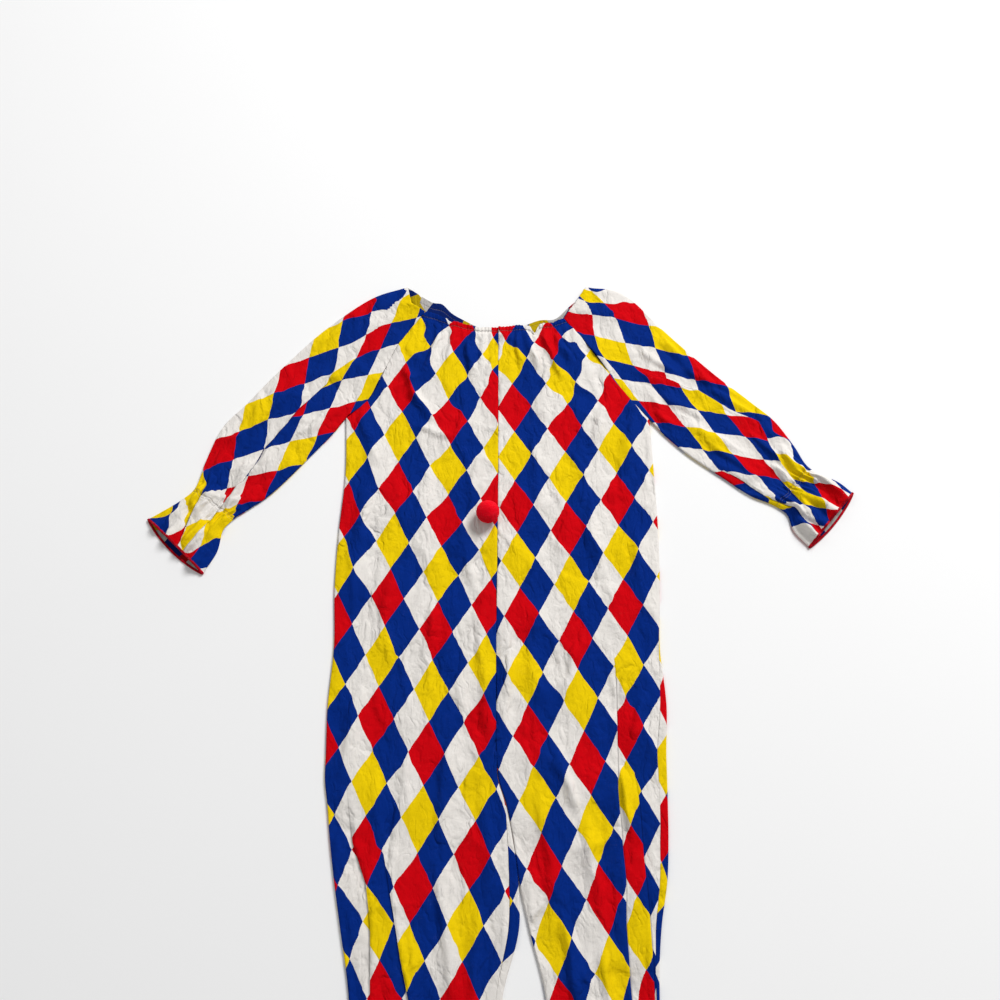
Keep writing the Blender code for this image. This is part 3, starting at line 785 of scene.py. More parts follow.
sleeveLeft = {
    "name": "sleeve_left_cloth",
    "node": "sleeve_left",
    "side": "left",
    "body": leftRows,
    "top": (0.161, 0.876),
    "flat": (0.54, 0.65), "area": 0.19,
    "rows": [
        (0.267, 0.598, 0.238, 0.852, 0.0000),
        (0.274, 0.590, 0.296, 0.784, 0.0000),
        (0.287, 0.574, 0.372, 0.703, 0.0000),
        (0.331, 0.532, 0.440, 0.639, 0.0000),
        (0.384, 0.492, 0.480, 0.599, 0.0004),
        (0.424, 0.462, 0.507, 0.554, 0.0014),
        (0.466, 0.442, 0.529, 0.513, 0.0012),
        (0.482, 0.428, 0.549, 0.500, 0.0036),
        (0.489, 0.400, 0.573, 0.488, 0.0070),
        (0.512, 0.371, 0.596, 0.467, 0.0085),
    ],
    "wristRow": 6,
    "beyond": (0.0055, -0.0055),
    "above": ((13.695, -12.439, -13.045), (-4.458, -7.046, 8.664)),
    "below": ((19.170, -13.480, -20.096), (-2.377, -8.694, 6.254)),
    "pleat": [
        (0.180, 0.735), (0.210, 0.722), (0.234, 0.709), (0.261, 0.694), (0.296, 0.683),
        (0.325, 0.670), (0.350, 0.663), (0.399, 0.626), (0.450, 0.600), (0.462, 0.570),
        (0.467, 0.547), (0.480, 0.520), (0.492, 0.501), (0.501, 0.483), (0.516, 0.465),
        (0.533, 0.455), (0.551, 0.447), (0.564, 0.441), (0.580, 0.436)],
    "pleatSoft": 0.050, "pleatStart": 0.14, "pleatStep": 0.0034,
    "folds": [
        (0.255, 0.735, 0.300, 0.700, 0.0024, 0.010, 0.3),
        (0.290, 0.770, 0.330, 0.720, 0.0030, 0.009, -0.3),
        (0.330, 0.700, 0.410, 0.655, 0.0026, 0.009, 0.3),
        (0.380, 0.660, 0.440, 0.615, 0.0022, 0.008, -0.3),
        (0.285, 0.650, 0.350, 0.610, 0.0026, 0.011, 0.2),
        (0.320, 0.600, 0.420, 0.540, 0.0028, 0.012, -0.3),
        (0.360, 0.560, 0.440, 0.490, 0.0030, 0.009, 0.3),
        (0.430, 0.580, 0.480, 0.520, 0.0030, 0.008, 0.4),
        (0.270, 0.620, 0.300, 0.590, 0.0024, 0.008, 0.2),
        (0.478, 0.548, 0.518, 0.492, 0.0042, 0.010, 0.2),
        (0.460, 0.520, 0.500, 0.478, 0.0034, 0.007, -0.2),
        (0.495, 0.472, 0.545, 0.436, 0.0040, 0.008, 0.3),
        (0.474, 0.462, 0.530, 0.404, 0.0040, 0.007, 0.3),
        (0.498, 0.412, 0.528, 0.382, 0.0036, 0.010, -0.2),
        (0.530, 0.500, 0.575, 0.462, 0.0034, 0.010, 0.2),
    ],
    "tuck": {"side": -1, "jump": 1, "step": 0.0030, "line": [
        (0.375, 0.512, 0.000), (0.389, 0.503, 0.008), (0.409, 0.490, 0.022), (0.430, 0.473, 0.034),
        (0.451, 0.457, 0.036), (0.465, 0.451, 0.036), (0.479, 0.444, 0.036), (0.492, 0.438, 0.036),
        (0.503, 0.422, 0.036), (0.517, 0.406, 0.036), (0.527, 0.388, 0.036), (0.531, 0.378, 0.036)]},
    "pulls": [
        (0.469, 0.542, 0.038, 0.006), (0.532, 0.484, 0.040, 0.002), (0.506, 0.495, 0.054, 0.018),
        (0.573, 0.474, 0.033, -0.010), (0.572, 0.452, 0.068, 0.005), (0.492, 0.545, 0.033, -0.004),
        (0.524, 0.525, 0.009, 0.005), (0.585, 0.478, 0.017, -0.006), (0.545, 0.470, 0.050, 0.004),
        (0.555, 0.488, 0.024, 0.003), (0.580, 0.466, 0.028, -0.006),
        (0.455, 0.610, 0.008, 0.000),
        (0.175, 0.869, -0.063, 0.015), (0.167, 0.852, -0.027, 0.024), (0.199, 0.852, -0.032, 0.000),
        (0.183, 0.827, -0.007, 0.008), (0.152, 0.827, 0.000, 0.034), (0.153, 0.801, 0.008, 0.009),
        (0.192, 0.795, 0.000, -0.007), (0.225, 0.830, -0.010, 0.000)],
    "neckEdge": [(0.137, 0.836), (0.150, 0.858)],
    "pullsBelow": [
        (0.534, 0.473, -0.025, 0.003), (0.559, 0.442, -0.013, 0.000), (0.523, 0.456, 0.002, 0.003),
        (0.485, 0.500, -0.005, -0.002), (0.464, 0.478, 0.010, -0.005), (0.532, 0.420, -0.003, -0.010),
        (0.505, 0.434, 0.019, 0.003), (0.477, 0.451, 0.008, 0.015), (0.438, 0.480, 0.020, 0.012),
        (0.499, 0.422, 0.019, 0.005), (0.507, 0.394, 0.022, -0.012), (0.529, 0.396, 0.014, 0.000),
        (0.441, 0.463, 0.022, 0.010), (0.436, 0.515, 0.000, 0.000), (0.554, 0.422, -0.010, -0.030),
        (0.400, 0.480, 0.010, 0.000)],
    "seed": 67,
}

sleeveGrid = {
    "shares": 121,             # places on each section's curve
    "upper": 58, "under": 30,  # columns of each layer between its edges
    "armhole": 0.010, "armholePitch": 0.0016,
    "wristBefore": 0.0475, "wristPitch": 0.0021,
}

cuffs = {
    "flutes": 4.0,             # waves of the ruffle across one layer
    "gatherPitch": 0.0088, "gatherHeight": 0.0064, "gatherReach": 0.026,
    "squeeze": 0.0022,         # how far the gathers draw the print together
    "underHeight": 0.0011,     # gathers of the under layer
    "neckPitch": 0.0095, "neckHeight": 0.0030, "neckRise": 0.0016, "neckReach": 0.030,
    "groove": 0.0008,          # depth of the elastic's line
    "across": 0.12,            # width over which the under layer is gathered
}


def spread(line, shares):
    # places along a line of points, at shares of its length
    line = np.asarray(line, float)
    steps = np.concatenate([[0.0], np.cumsum(np.linalg.norm(np.diff(line, axis=0), axis=1))])
    steps /= steps[-1]
    return np.stack([np.interp(shares, steps, line[:, 0]),
                     np.interp(shares, steps, line[:, 1])], axis=-1)


def pleatGap(x, y, line, upSide):
    # signed distance to the nearest stretch of the pleat's line, and the share of its length there
    line = np.asarray(line, float)
    steps = np.linalg.norm(np.diff(line, axis=0), axis=1)
    started = np.concatenate([[0.0], np.cumsum(steps)])
    best = np.full(x.shape, 1e9)
    gap = np.zeros(x.shape)
    share = np.zeros(x.shape)
    for index, (start, end) in enumerate(zip(line[:-1], line[1:])):
        run = (end - start) / steps[index]
        along = (x - start[0]) * run[0] + (y - start[1]) * run[1]
        held = np.clip(along, 0, steps[index])
        awayX = x - start[0] - held * run[0]
        awayY = y - start[1] - held * run[1]
        away = np.hypot(awayX, awayY)
        nearer = away < best
        best = np.where(nearer, away, best)
        sign = np.sign(awayX * -run[1] + awayY * run[0]) * upSide
        gap = np.where(nearer, away * sign, gap)
        share = np.where(nearer, (started[index] + held) / started[-1], share)
    return gap, share


def sleevePrint(x, y, place, pulls):
    moved = pullPrint(x, y, pulls, pulling["sleeve"])
    u, v = (k[0] + k[1] * x + k[2] * y for k in place)
    return np.stack([u * diamond["wide"] + moved[0], v * diamond["high"] + moved[1]])


def makeSleeve(settings, material, inside):
    bodyRows = np.array(settings["body"], float)
    raglan = bodyRows[:armpitRow + 1, 2:4][::-1]
    sleeveRows = np.array(settings["rows"], float)
    side = settings["side"]
    top = np.array(settings["top"])
    share = np.linspace(0, 1, sleeveGrid["shares"])
    dense = smoothRead(np.arange(len(raglan)), raglan, np.linspace(0, armpitRow, 60))
    corner = np.array(backNeck[side])
    lineUp = np.vstack([dense, settings["neckEdge"], top])
    cornerShare = 1 - np.linalg.norm(np.diff(lineUp[-4:], axis=0), axis=1).sum() / np.linalg.norm(
        np.diff(lineUp, axis=0), axis=1).sum()
    lineDown = np.vstack([smoothRead(np.arange(len(raglan)), np.vstack([raglan[:-1], corner]),
                                     np.linspace(0, armpitRow, 60)), 0.5 * (corner + top), top])
    first = {"up": spread(lineUp, share), "down": spread(lineDown, share)}
    under, over = sleeveRows[:, 0:2], sleeveRows[:, 2:4]
    middles = np.vstack([spread(lineUp, np.array([0.5])), 0.5 * (under + over)])
    stops = np.concatenate([[0.0], np.cumsum(np.linalg.norm(np.diff(middles, axis=0), axis=1))])
    # close rows at the armhole and round the wrist and ruffle
    wrist = stops[settings["wristRow"] + 1]
    nearArm, nearCuff = sleeveGrid["armhole"], sleeveGrid["wristBefore"]
    at = np.concatenate([
        np.arange(0.0, nearArm, sleeveGrid["armholePitch"]),
        np.linspace(nearArm, wrist - 0.05, int((wrist - 0.06) / cloth["pitch"])),
        np.linspace(wrist - nearCuff, stops[-1],
                    int((stops[-1] - wrist + nearCuff) / sleeveGrid["wristPitch"]))])
    flutes = np.interp(at, stops, np.concatenate([[0.0], sleeveRows[:, 4]]))
    stages = {}
    for layer in ("up", "down"):
        grid = np.stack([np.vstack([first[layer][column][None],
                                    under + (over - under) * part])
                         for column, part in enumerate(share)], axis=1)
        read = smoothRead(stops, grid.reshape(len(stops), -1), at)
        stages[layer] = read.reshape(len(at), len(share), 2)
    beyond = easeStep((at - wrist) / (stops[-1] - wrist))[:, None] * np.sin(math.pi * share)**0.7
    stages["up"] = stages["up"] - beyond[..., None] * np.array(settings["beyond"]) * 0.15
    stages["down"] = stages["down"] + beyond[..., None] * np.array(settings["beyond"])

    widths = {layer: np.linalg.norm(np.diff(rows, axis=1), axis=2).sum(axis=1)
              for layer, rows in stages.items()}

    def columnsOf(layer, count, fine):
        # distance from the lower end of every column, its distance from the nearer edge, its place
        full = widths[layer][:, None]
        middle = edgeStops[-1] + (full - 2 * edgeStops[-1]) * np.linspace(0, 1, count + 2)[1:-1]
        stopsHere = edgeStops if fine else edgeStops[1:]
        near = np.broadcast_to(stopsHere, (len(at), len(stopsHere)))
        far = full - near[:, ::-1]
        distance = np.concatenate([near, middle, far], axis=1)
        fromEdge = np.minimum(distance, full - distance)
        inward, height = edgeProfile(fromEdge if layer == "up" else -fromEdge)
        spot = np.where(distance < full / 2, inward, full - inward) / full
        rows = stages[layer]
        x = np.stack([np.interp(spot[r], share, rows[r, :, 0]) for r in range(len(at))])
        y = np.stack([np.interp(spot[r], share, rows[r, :, 1]) for r in range(len(at))])
        return x, y, height, distance, inward, spot

    upX, upY, upHigh, upAcross, upIn, upSpot = columnsOf("up", sleeveGrid["upper"], True)
    downX, downY, downHigh, downAcross, downIn, downSpot = columnsOf(
        "down", sleeveGrid["under"], False)
    overEdge = stages["up"][:, -1]
    fromArmhole = np.broadcast_to(at[:, None], upX.shape)
    fromWrist = at[:, None] - wrist

    # the print, split along the pleat, which opens out softly towards the shoulder
    upSide = 1.0 if side == "left" else -1.0
    gap, along = pleatGap(upX, upY, settings["pleat"], upSide)
    start = settings["pleatStart"]
    soft = np.interp(along, [0.0, start, start + 0.10],
                     [settings["pleatSoft"], settings["pleatSoft"] * 0.5, 0.0060])
    sharp = easeStep((along - start) / 0.12)
    split = easeStep(-gap / soft + 0.5) * (1 - sharp)
    mirroredX = 2 * overEdge[:, 0:1] - downX
    mirroredY = 2 * overEdge[:, 1:2] - downY
    down = sleevePrint(mirroredX, mirroredY, settings["above"], ())

    # relief of the upper layer
    seed = settings["seed"]
    lift, push = foldRelief(upX, upY, settings["folds"])
    lift *= folds["sleeve"]
    heading = math.atan2(over[4, 1] + under[4, 1] - over[0, 1] - under[0, 1],
                         over[4, 0] + under[4, 0] - over[0, 0] - under[0, 0])
    addCrumples(lift, push, upX, upY, seed, crumples["area"]["sleeve"], (heading, heading))
    lift += swellRelief(upX, upY, seed + 5, *swells["sleeve"])
    tuck = settings["tuck"]
    tuckGap, hidden = tuckSplit(upX, upY, tuck["line"])
    tuckGap *= tuckSide(tuck["line"], tuck["side"])
    strength = np.minimum(hidden / ledges["full"], 1.0)
    lift += ledge(tuckGap, tuck["step"] * strength, ledges["sleeveFade"])
    # the pleat is soft at the shoulder, sharp along the arm and lower at the wrist
    tight = sharp * easeStep((wrist - at[:, None]) / 0.05 + 0.3)
    tight = np.maximum(tight, 0.7 * (at[:, None] > wrist) * np.ones_like(tight))
    lift += ledge(gap, settings["pleatStep"] * tight, ledges["pleatFade"], 0.1)
    lift -= ditch(gap, tight)
    lift -= seams["deep"] * nearSeam(fromArmhole)
    # gathers on the wrist's elastic, running on into the ruffle's flutes
    draw = np.random.default_rng(seed + 9)
    phase = draw.uniform(0, 6)
    across = upSpot * widths["up"][:, None].min()
    drift = 1.3 * np.sin(across * 70 + phase + fromWrist * 60) \
        + 1.2 * np.sin(across * 190 + phase - fromWrist * 130)
    drawn = 0.5 + 0.5 * np.sin(across * 2 * math.pi / cuffs["gatherPitch"] + drift)
    nearWrist = np.exp(-np.abs(fromWrist) / cuffs["gatherReach"]) * (1 - 0.75 * np.exp(
        -(fromWrist / 0.0022)**2))
    bunched = 0.65 + 0.35 * np.sin(across * 61 + 2 * phase)
    lift += cuffs["gatherHeight"] * drawn**1.4 * nearWrist * bunched
    lift -= cuffs["groove"] * np.exp(-(fromWrist / 0.0030)**2)
    squeezed = cuffs["squeeze"] * nearWrist * np.cos(
        across * 2 * math.pi / cuffs["gatherPitch"] + drift)
    acrossWay = over[settings["wristRow"]] - under[settings["wristRow"]]
    acrossWay = acrossWay / np.linalg.norm(acrossWay)
    push += squeezed * acrossWay[:, None, None]
    # and on the neck's elastic, where the sleeve ends between front and back
    neckPart = easeStep((upSpot - cornerShare) / 0.06)
    neckWave = 0.5 + 0.5 * np.sin(upSpot * widths["up"][0] * 2 * math.pi / cuffs["neckPitch"]
                                  + phase)
    neckLift = cuffs["neckHeight"] * neckWave + cuffs["neckRise"]
    lift += neckLift * neckPart * np.exp(-fromArmhole / cuffs["neckReach"])
    wave = 0.5 - 0.5 * np.cos(2 * math.pi * cuffs["flutes"] * upSpot
                              + 1.1 * np.sin(5 * upSpot + phase))
    lift += flutes[:, None] * wave
    upLevel = easeStep(upIn / cloth["levelled"])
    upZ = np.maximum(upHigh + lift * upLevel, np.where(upHigh > cloth["turn"] * 1.5,
                                                       cloth["lowest"], 0.0))
    # the under layer: gathers press up into it
    downLevel = easeStep(downIn / cloth["levelled"])
    downWave = 0.5 - 0.5 * np.cos(2 * math.pi * cuffs["gatherPitch"]**-1 * cuffs["across"]
                                  * downSpot + phase)
    downLift = cuffs["underHeight"] * downWave * np.exp(-np.abs(fromWrist) / cuffs["gatherReach"])
    downLift = downLift + 0.0004 * (0.5 + 0.5 * np.sin(downX * 90 + downY * 50 + phase))
    downZ = downHigh + downLift * downLevel

    x = np.concatenate([upX, downX[:, ::-1], upX[:, :1]], axis=1)
    y = np.concatenate([upY, downY[:, ::-1], upY[:, :1]], axis=1)
    z = np.concatenate([upZ, downZ[:, ::-1], upZ[:, :1]], axis=1)
    movedX, movedY = upX + push[0], upY + push[1]
    above = sleevePrint(movedX, movedY, settings["above"], settings["pulls"])
    below = sleevePrint(movedX, movedY, settings["below"], settings["pullsBelow"])
    up = above + (below - above) * split
    close = sleevePrint(2 * overEdge[:, 0:1] - upX[:, :1], 2 * overEdge[:, 1:2] - upY[:, :1],
                        settings["above"], ())

    def allRound(onUpper, onLower=0.0):
        return np.concatenate([onUpper, np.full((len(at), downX.shape[1] + 1), onLower)], axis=1)

    pleatJump = (below - above) * sharp
    tuckJump = tuck["jump"] * hidden
    # the under layer carries on from the upper one at the upper edge
    carried = up[:, :, -1:] - sleevePrint(upX[:, -1:], upY[:, -1:], settings["above"], ())
    carried[0] += (tuckJump * (tuckGap > 0))[:, -1:]
    u, v = np.concatenate([up, down[:, :, ::-1] + carried, close + carried], axis=2)
    tucks = [(allRound(-gap, -1.0), allRound(pleatJump[0]), allRound(pleatJump[1])),
             (allRound(tuckGap, -1.0), allRound(tuckJump), allRound(0 * tuckJump))]
    acrossWrist = np.concatenate([upAcross, downAcross[:, ::-1], upAcross[:, :1]], axis=1)
    wander = 0.0013 * np.sin(acrossWrist * 210 + phase) + 0.0008 * np.sin(acrossWrist * 520)
    stitched = (np.abs(fromWrist + wander) - stitching["elastic"], acrossWrist)
    mesh = gridMesh(settings["name"], x, y, z, u, v, tucks, stitched, material, inside)
    closeSeam(mesh)
    highest = max(mesh.polygons, key=lambda face: face.center.z)
    piece = shellOf(settings["name"], mesh, outwardUp=True, middle=highest)
    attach(piece, "root")
    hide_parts(settings["node"])
    end = np.stack([x[-1, :-1], y[-1, :-1], z[-1, :-1]], axis=1)
    return piece, end


# the red overlocked edge of a ruffle: looped yarn round the cut end

overlock = {
    "wide": 0.0040, "high": 0.0019,
    "loopPitch": 0.0016, "bump": 0.00028,
    "wave": 0.0007, "waveLength": 0.011,
    "pitch": 0.0008, "around": 8,      # rows along it and columns round it
    "reach": 0.007,                    # way round it, for the yarn's map
}


def makeOverlock(name, end, material, seed):
    draw = np.random.default_rng(seed)
    loop = np.vstack([end, end[:1]])
    steps = np.concatenate([[0.0], np.cumsum(np.linalg.norm(np.diff(loop, axis=0), axis=1))])
    count = int(steps[-1] / overlock["pitch"])
    at = np.linspace(0, steps[-1], count, endpoint=False)
    path = np.stack([np.interp(at, steps, loop[:, axis]) for axis in range(3)], axis=1)
    path[:, 2] += overlock["wave"] * np.sin(at * 2 * math.pi / overlock["waveLength"]
                                            + draw.uniform(0, 6))
    path[:, 2] = np.maximum(path[:, 2], overlock["high"] * 0.62)
    ahead = np.roll(path, -2, axis=0) - np.roll(path, 2, axis=0)
    ahead /= np.linalg.norm(ahead, axis=1)[:, None]
    aside = np.cross(ahead, np.array([0.0, 0.0, 1.0]))
    aside /= np.maximum(np.linalg.norm(aside, axis=1), 1e-6)[:, None]
    upward = np.cross(aside, ahead)
    around = overlock["around"]
    mesh, rowAlong, column, corner = flatGrid(name, count + 1, around + 1)
    row = rowAlong % count
    angle = 2 * math.pi * column / around
    swell = overlock["bump"] * np.sin(at[row] * 2 * math.pi / overlock["loopPitch"]
                                      + 0.8 * np.sin(angle))
    places = path[row] + aside[row] * ((0.5 * overlock["wide"] + swell)
                                       * np.cos(angle))[:, None]
    places += upward[row] * ((0.5 * overlock["high"] + swell) * np.sin(angle))[:, None]
    places[:, 0] += crotch[0]
    places[:, 1] += crotch[1]
    mesh.vertices.foreach_set("co", places.ravel())
    rowAt = rowAlong * steps[-1] / count
    pairs = np.stack([rowAt[corner], column[corner] / around * overlock["reach"]], axis=1)
    mesh.uv_layers.new(name="yarn").data.foreach_set("uv", pairs.ravel())
    closeSeam(mesh)
    mesh.materials.append(material)
    piece = bpy.data.objects.new(name, mesh)
    bpy.context.collection.objects.link(piece)
    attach(piece, "root")
    return piece


# the pompom: a ball of cut yarn ends

pompom = {
    "place": (-0.017, 0.425),
    "radius": 0.0195,
    "squash": 0.88,
    "seat": 0.0082,
    "core": 0.0032,            # depth of loose yarn over the core
    "ends": 2600,
    "endRadius": 0.0009, "endLength": (0.0045, 0.0078), "endLean": 0.16, "uneven": 0.0016,
    "seed": 7,
}


def makePompom(material):
    draw = random.Random(pompom["seed"])
    radius = pompom["radius"]
    middle = Vector((pompom["place"][0] + crotch[0], pompom["place"][1] + crotch[1],
                     pompom["seat"] + radius * pompom["squash"]))
    shape = bmesh.new()
    bmesh.ops.create_icosphere(shape, subdivisions=3, radius=radius - pompom["core"])
    count = pompom["ends"]
    for index in range(count):
        # evenly spread over the ball, then loosened
        high = 1 - 2 * (index + 0.5) / count
        turn = index * math.pi * (3 - math.sqrt(5)) + draw.uniform(-0.05, 0.05)
        flat = math.sqrt(1 - high * high)
        away = Vector((flat * math.cos(turn), flat * math.sin(turn), high))
        lean = Vector((draw.gauss(0, 1), draw.gauss(0, 1), draw.gauss(0, 1)))
        lean *= pompom["endLean"]
        heading = (away + lean).normalized()
        length = draw.uniform(*pompom["endLength"])
        reach = radius - draw.uniform(0.0, pompom["uneven"]) - 0.5 * length
        turned = heading.to_track_quat("Z", "Y").to_matrix().to_4x4()
        place = Matrix.Translation(away * reach) @ turned
        bmesh.ops.create_cone(shape, cap_ends=True, segments=4, radius1=pompom["endRadius"] * 0.7,
                              radius2=pompom["endRadius"], depth=length, matrix=place)
    for vertex in shape.verts:
        vertex.co.z *= pompom["squash"]
        vertex.co += middle
    mesh = bpy.data.meshes.new("pompom_yarn")
    shape.to_mesh(mesh)
    shape.free()
    mesh.materials.append(material)
    mesh.shade_smooth()
    piece = bpy.data.objects.new("pompom_yarn", mesh)
    bpy.context.collection.objects.link(piece)
    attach(piece, "root")
    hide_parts("pompom")
    return piece


# materials

class Wire:
    # one output of a shader node, with arithmetic that adds Math nodes
    def __init__(self, tree, socket):
        self.tree = tree
        self.socket = socket

    def math(self, operation, *others):
        node = self.tree.nodes.new("ShaderNodeMath")
        node.operation = operation
        for slot, value in zip(node.inputs, (self, *others)):
            plug(self.tree, slot, value)
        return Wire(self.tree, node.outputs[0])

    def __add__(self, other):
        return self.math("ADD", other)

    def __radd__(self, other):
        return self.math("ADD", other)

    def __sub__(self, other):
        return self.math("SUBTRACT", other)

    def __rsub__(self, other):
        return (self * -1.0).math("ADD", other)

    def __mul__(self, other):
        return self.math("MULTIPLY", other)

    def __rmul__(self, other):
        return self.math("MULTIPLY", other)

    def __truediv__(self, other):
        return self.math("DIVIDE", other)

    def beside(self, index):
        return Wire(self.tree, self.socket.node.outputs[index])

    def floor(self):
        return self.math("FLOOR")

    def fraction(self):
        return self.math("FRACT")

    def size(self):
        return self.math("ABSOLUTE")

    def least(self, other):
        return self.math("MINIMUM", other)

    def over(self, other):
        return self.math("GREATER_THAN", other)

    def wrap(self, high):
        return self.math("FLOORED_MODULO", high)

    def sine(self):
        return self.math("SINE")

    def ease(self, low, high):
        node = self.tree.nodes.new("ShaderNodeMapRange")
        node.interpolation_type = "SMOOTHSTEP"
        plug(self.tree, node.inputs["Value"], self)
        node.inputs["From Min"].default_value = low
        node.inputs["From Max"].default_value = high
        return Wire(self.tree, node.outputs[0])


def plug(tree, slot, value):
    if isinstance(value, Wire):
        tree.links.new(value.socket, slot)
    elif hasattr(value, "__len__") and len(value) == 3 and slot.type == "RGBA":
        slot.default_value = (*value, 1.0)
    else:
        slot.default_value = value


class Paint:
    # a material being wired
    def __init__(self, name):
        self.material = bpy.data.materials.new(name)
        self.material.use_nodes = True
        self.tree = self.material.node_tree
        self.shader = self.tree.nodes["Principled BSDF"]

    def node(self, kind, settings=None, inputs=None, output=0):
        made = self.tree.nodes.new(kind)
        for key, value in (settings or {}).items():
            setattr(made, key, value)
        for key, value in (inputs or {}).items():
            plug(self.tree, made.inputs[key], value)
        return Wire(self.tree, made.outputs[output])

    def mix(self, factor, low, high, blend="MIX"):
        made = self.tree.nodes.new("ShaderNodeMix")
        made.data_type = "RGBA"
        made.blend_type = blend
        plug(self.tree, made.inputs["Factor"], factor)
        plug(self.tree, made.inputs[6], low)
        plug(self.tree, made.inputs[7], high)
        return Wire(self.tree, made.outputs[2])

    def mixVector(self, factor, low, high):
        made = self.tree.nodes.new("ShaderNodeMix")
        made.data_type = "VECTOR"
        plug(self.tree, made.inputs[0], factor)
        plug(self.tree, made.inputs[4], low)
        plug(self.tree, made.inputs[5], high)
        return Wire(self.tree, made.outputs[1])

    def noise(self, at, scale, detail=2.0, rough=0.5, output=0):
        return self.node("ShaderNodeTexNoise", {}, {
            "Vector": at, "Scale": scale, "Detail": detail, "Roughness": rough}, output)

    def set(self, **values):
        for key, value in values.items():
            plug(self.tree, self.shader.inputs[key.replace("_", " ")], value)


printed = {
    "blue": (0.0010, 0.0210, 0.1950),
    "white": (0.7600, 0.7250, 0.6850),
    "red": (0.5750, 0.0008, 0.0045),
    "yellow": (0.7900, 0.5600, 0.0020),
    "edgeWander": 0.00035,      # unevenness of the print's edges
    "mottle": 0.16,             # patchiness of the dye
    "weavePitch": 0.00075,      # thread spacing
    "weaveDepth": 0.00006,
    "slub": 0.00008,            # how far a thick stretch of thread stands up
    # fine crumples in the bump: how many on a metre, depth, how wide a crease is of their spacing
    "creases": ((12.0, 0.0290, 0.08), (25.0, 0.0170, 0.07), (58.0, 0.0070, 0.10)),
    "ripple": 0.0005,
    "tuckShadow": 0.0030,       # width of the dark line under a tuck's edge
    "roughness": 0.86,
    "reversePale": 0.006,       # how far the reverse fades to the ground cloth
    "reverseShade": 0.50,       # how much less light reaches it
}


def printColours(paint, u, v, spot):
    # the lattice: whole columns of blue and white diamonds, and one of red and yellow by turns
    wander = paint.noise(spot, 420.0, 2.0, 0.6) - 0.5
    u = (u + wander * (2.6 * printed["edgeWander"])) / (0.5 * diamond["wide"])
    v = (v + wander * (3.4 * printed["edgeWander"])) / (0.5 * diamond["high"])
    first = ((u + v) * 0.5 + 0.5).floor()
    second = ((v - u) * 0.5 + 0.5).floor()
    across = first - second
    down = first + second
    kind = across.wrap(3.0)
    turn = (across / 3.0 + 0.01).floor().wrap(2.0)
    yellow = 1.0 - (down - turn + 0.5).wrap(4.0).over(1.0)
    warm = paint.mix(yellow, printed["red"], printed["yellow"])
    blue = (kind - 1.0).size()
    colour = paint.mix(1.0 - blue.over(0.5), warm, printed["blue"])
    return paint.mix(kind.over(1.5), colour, printed["white"])


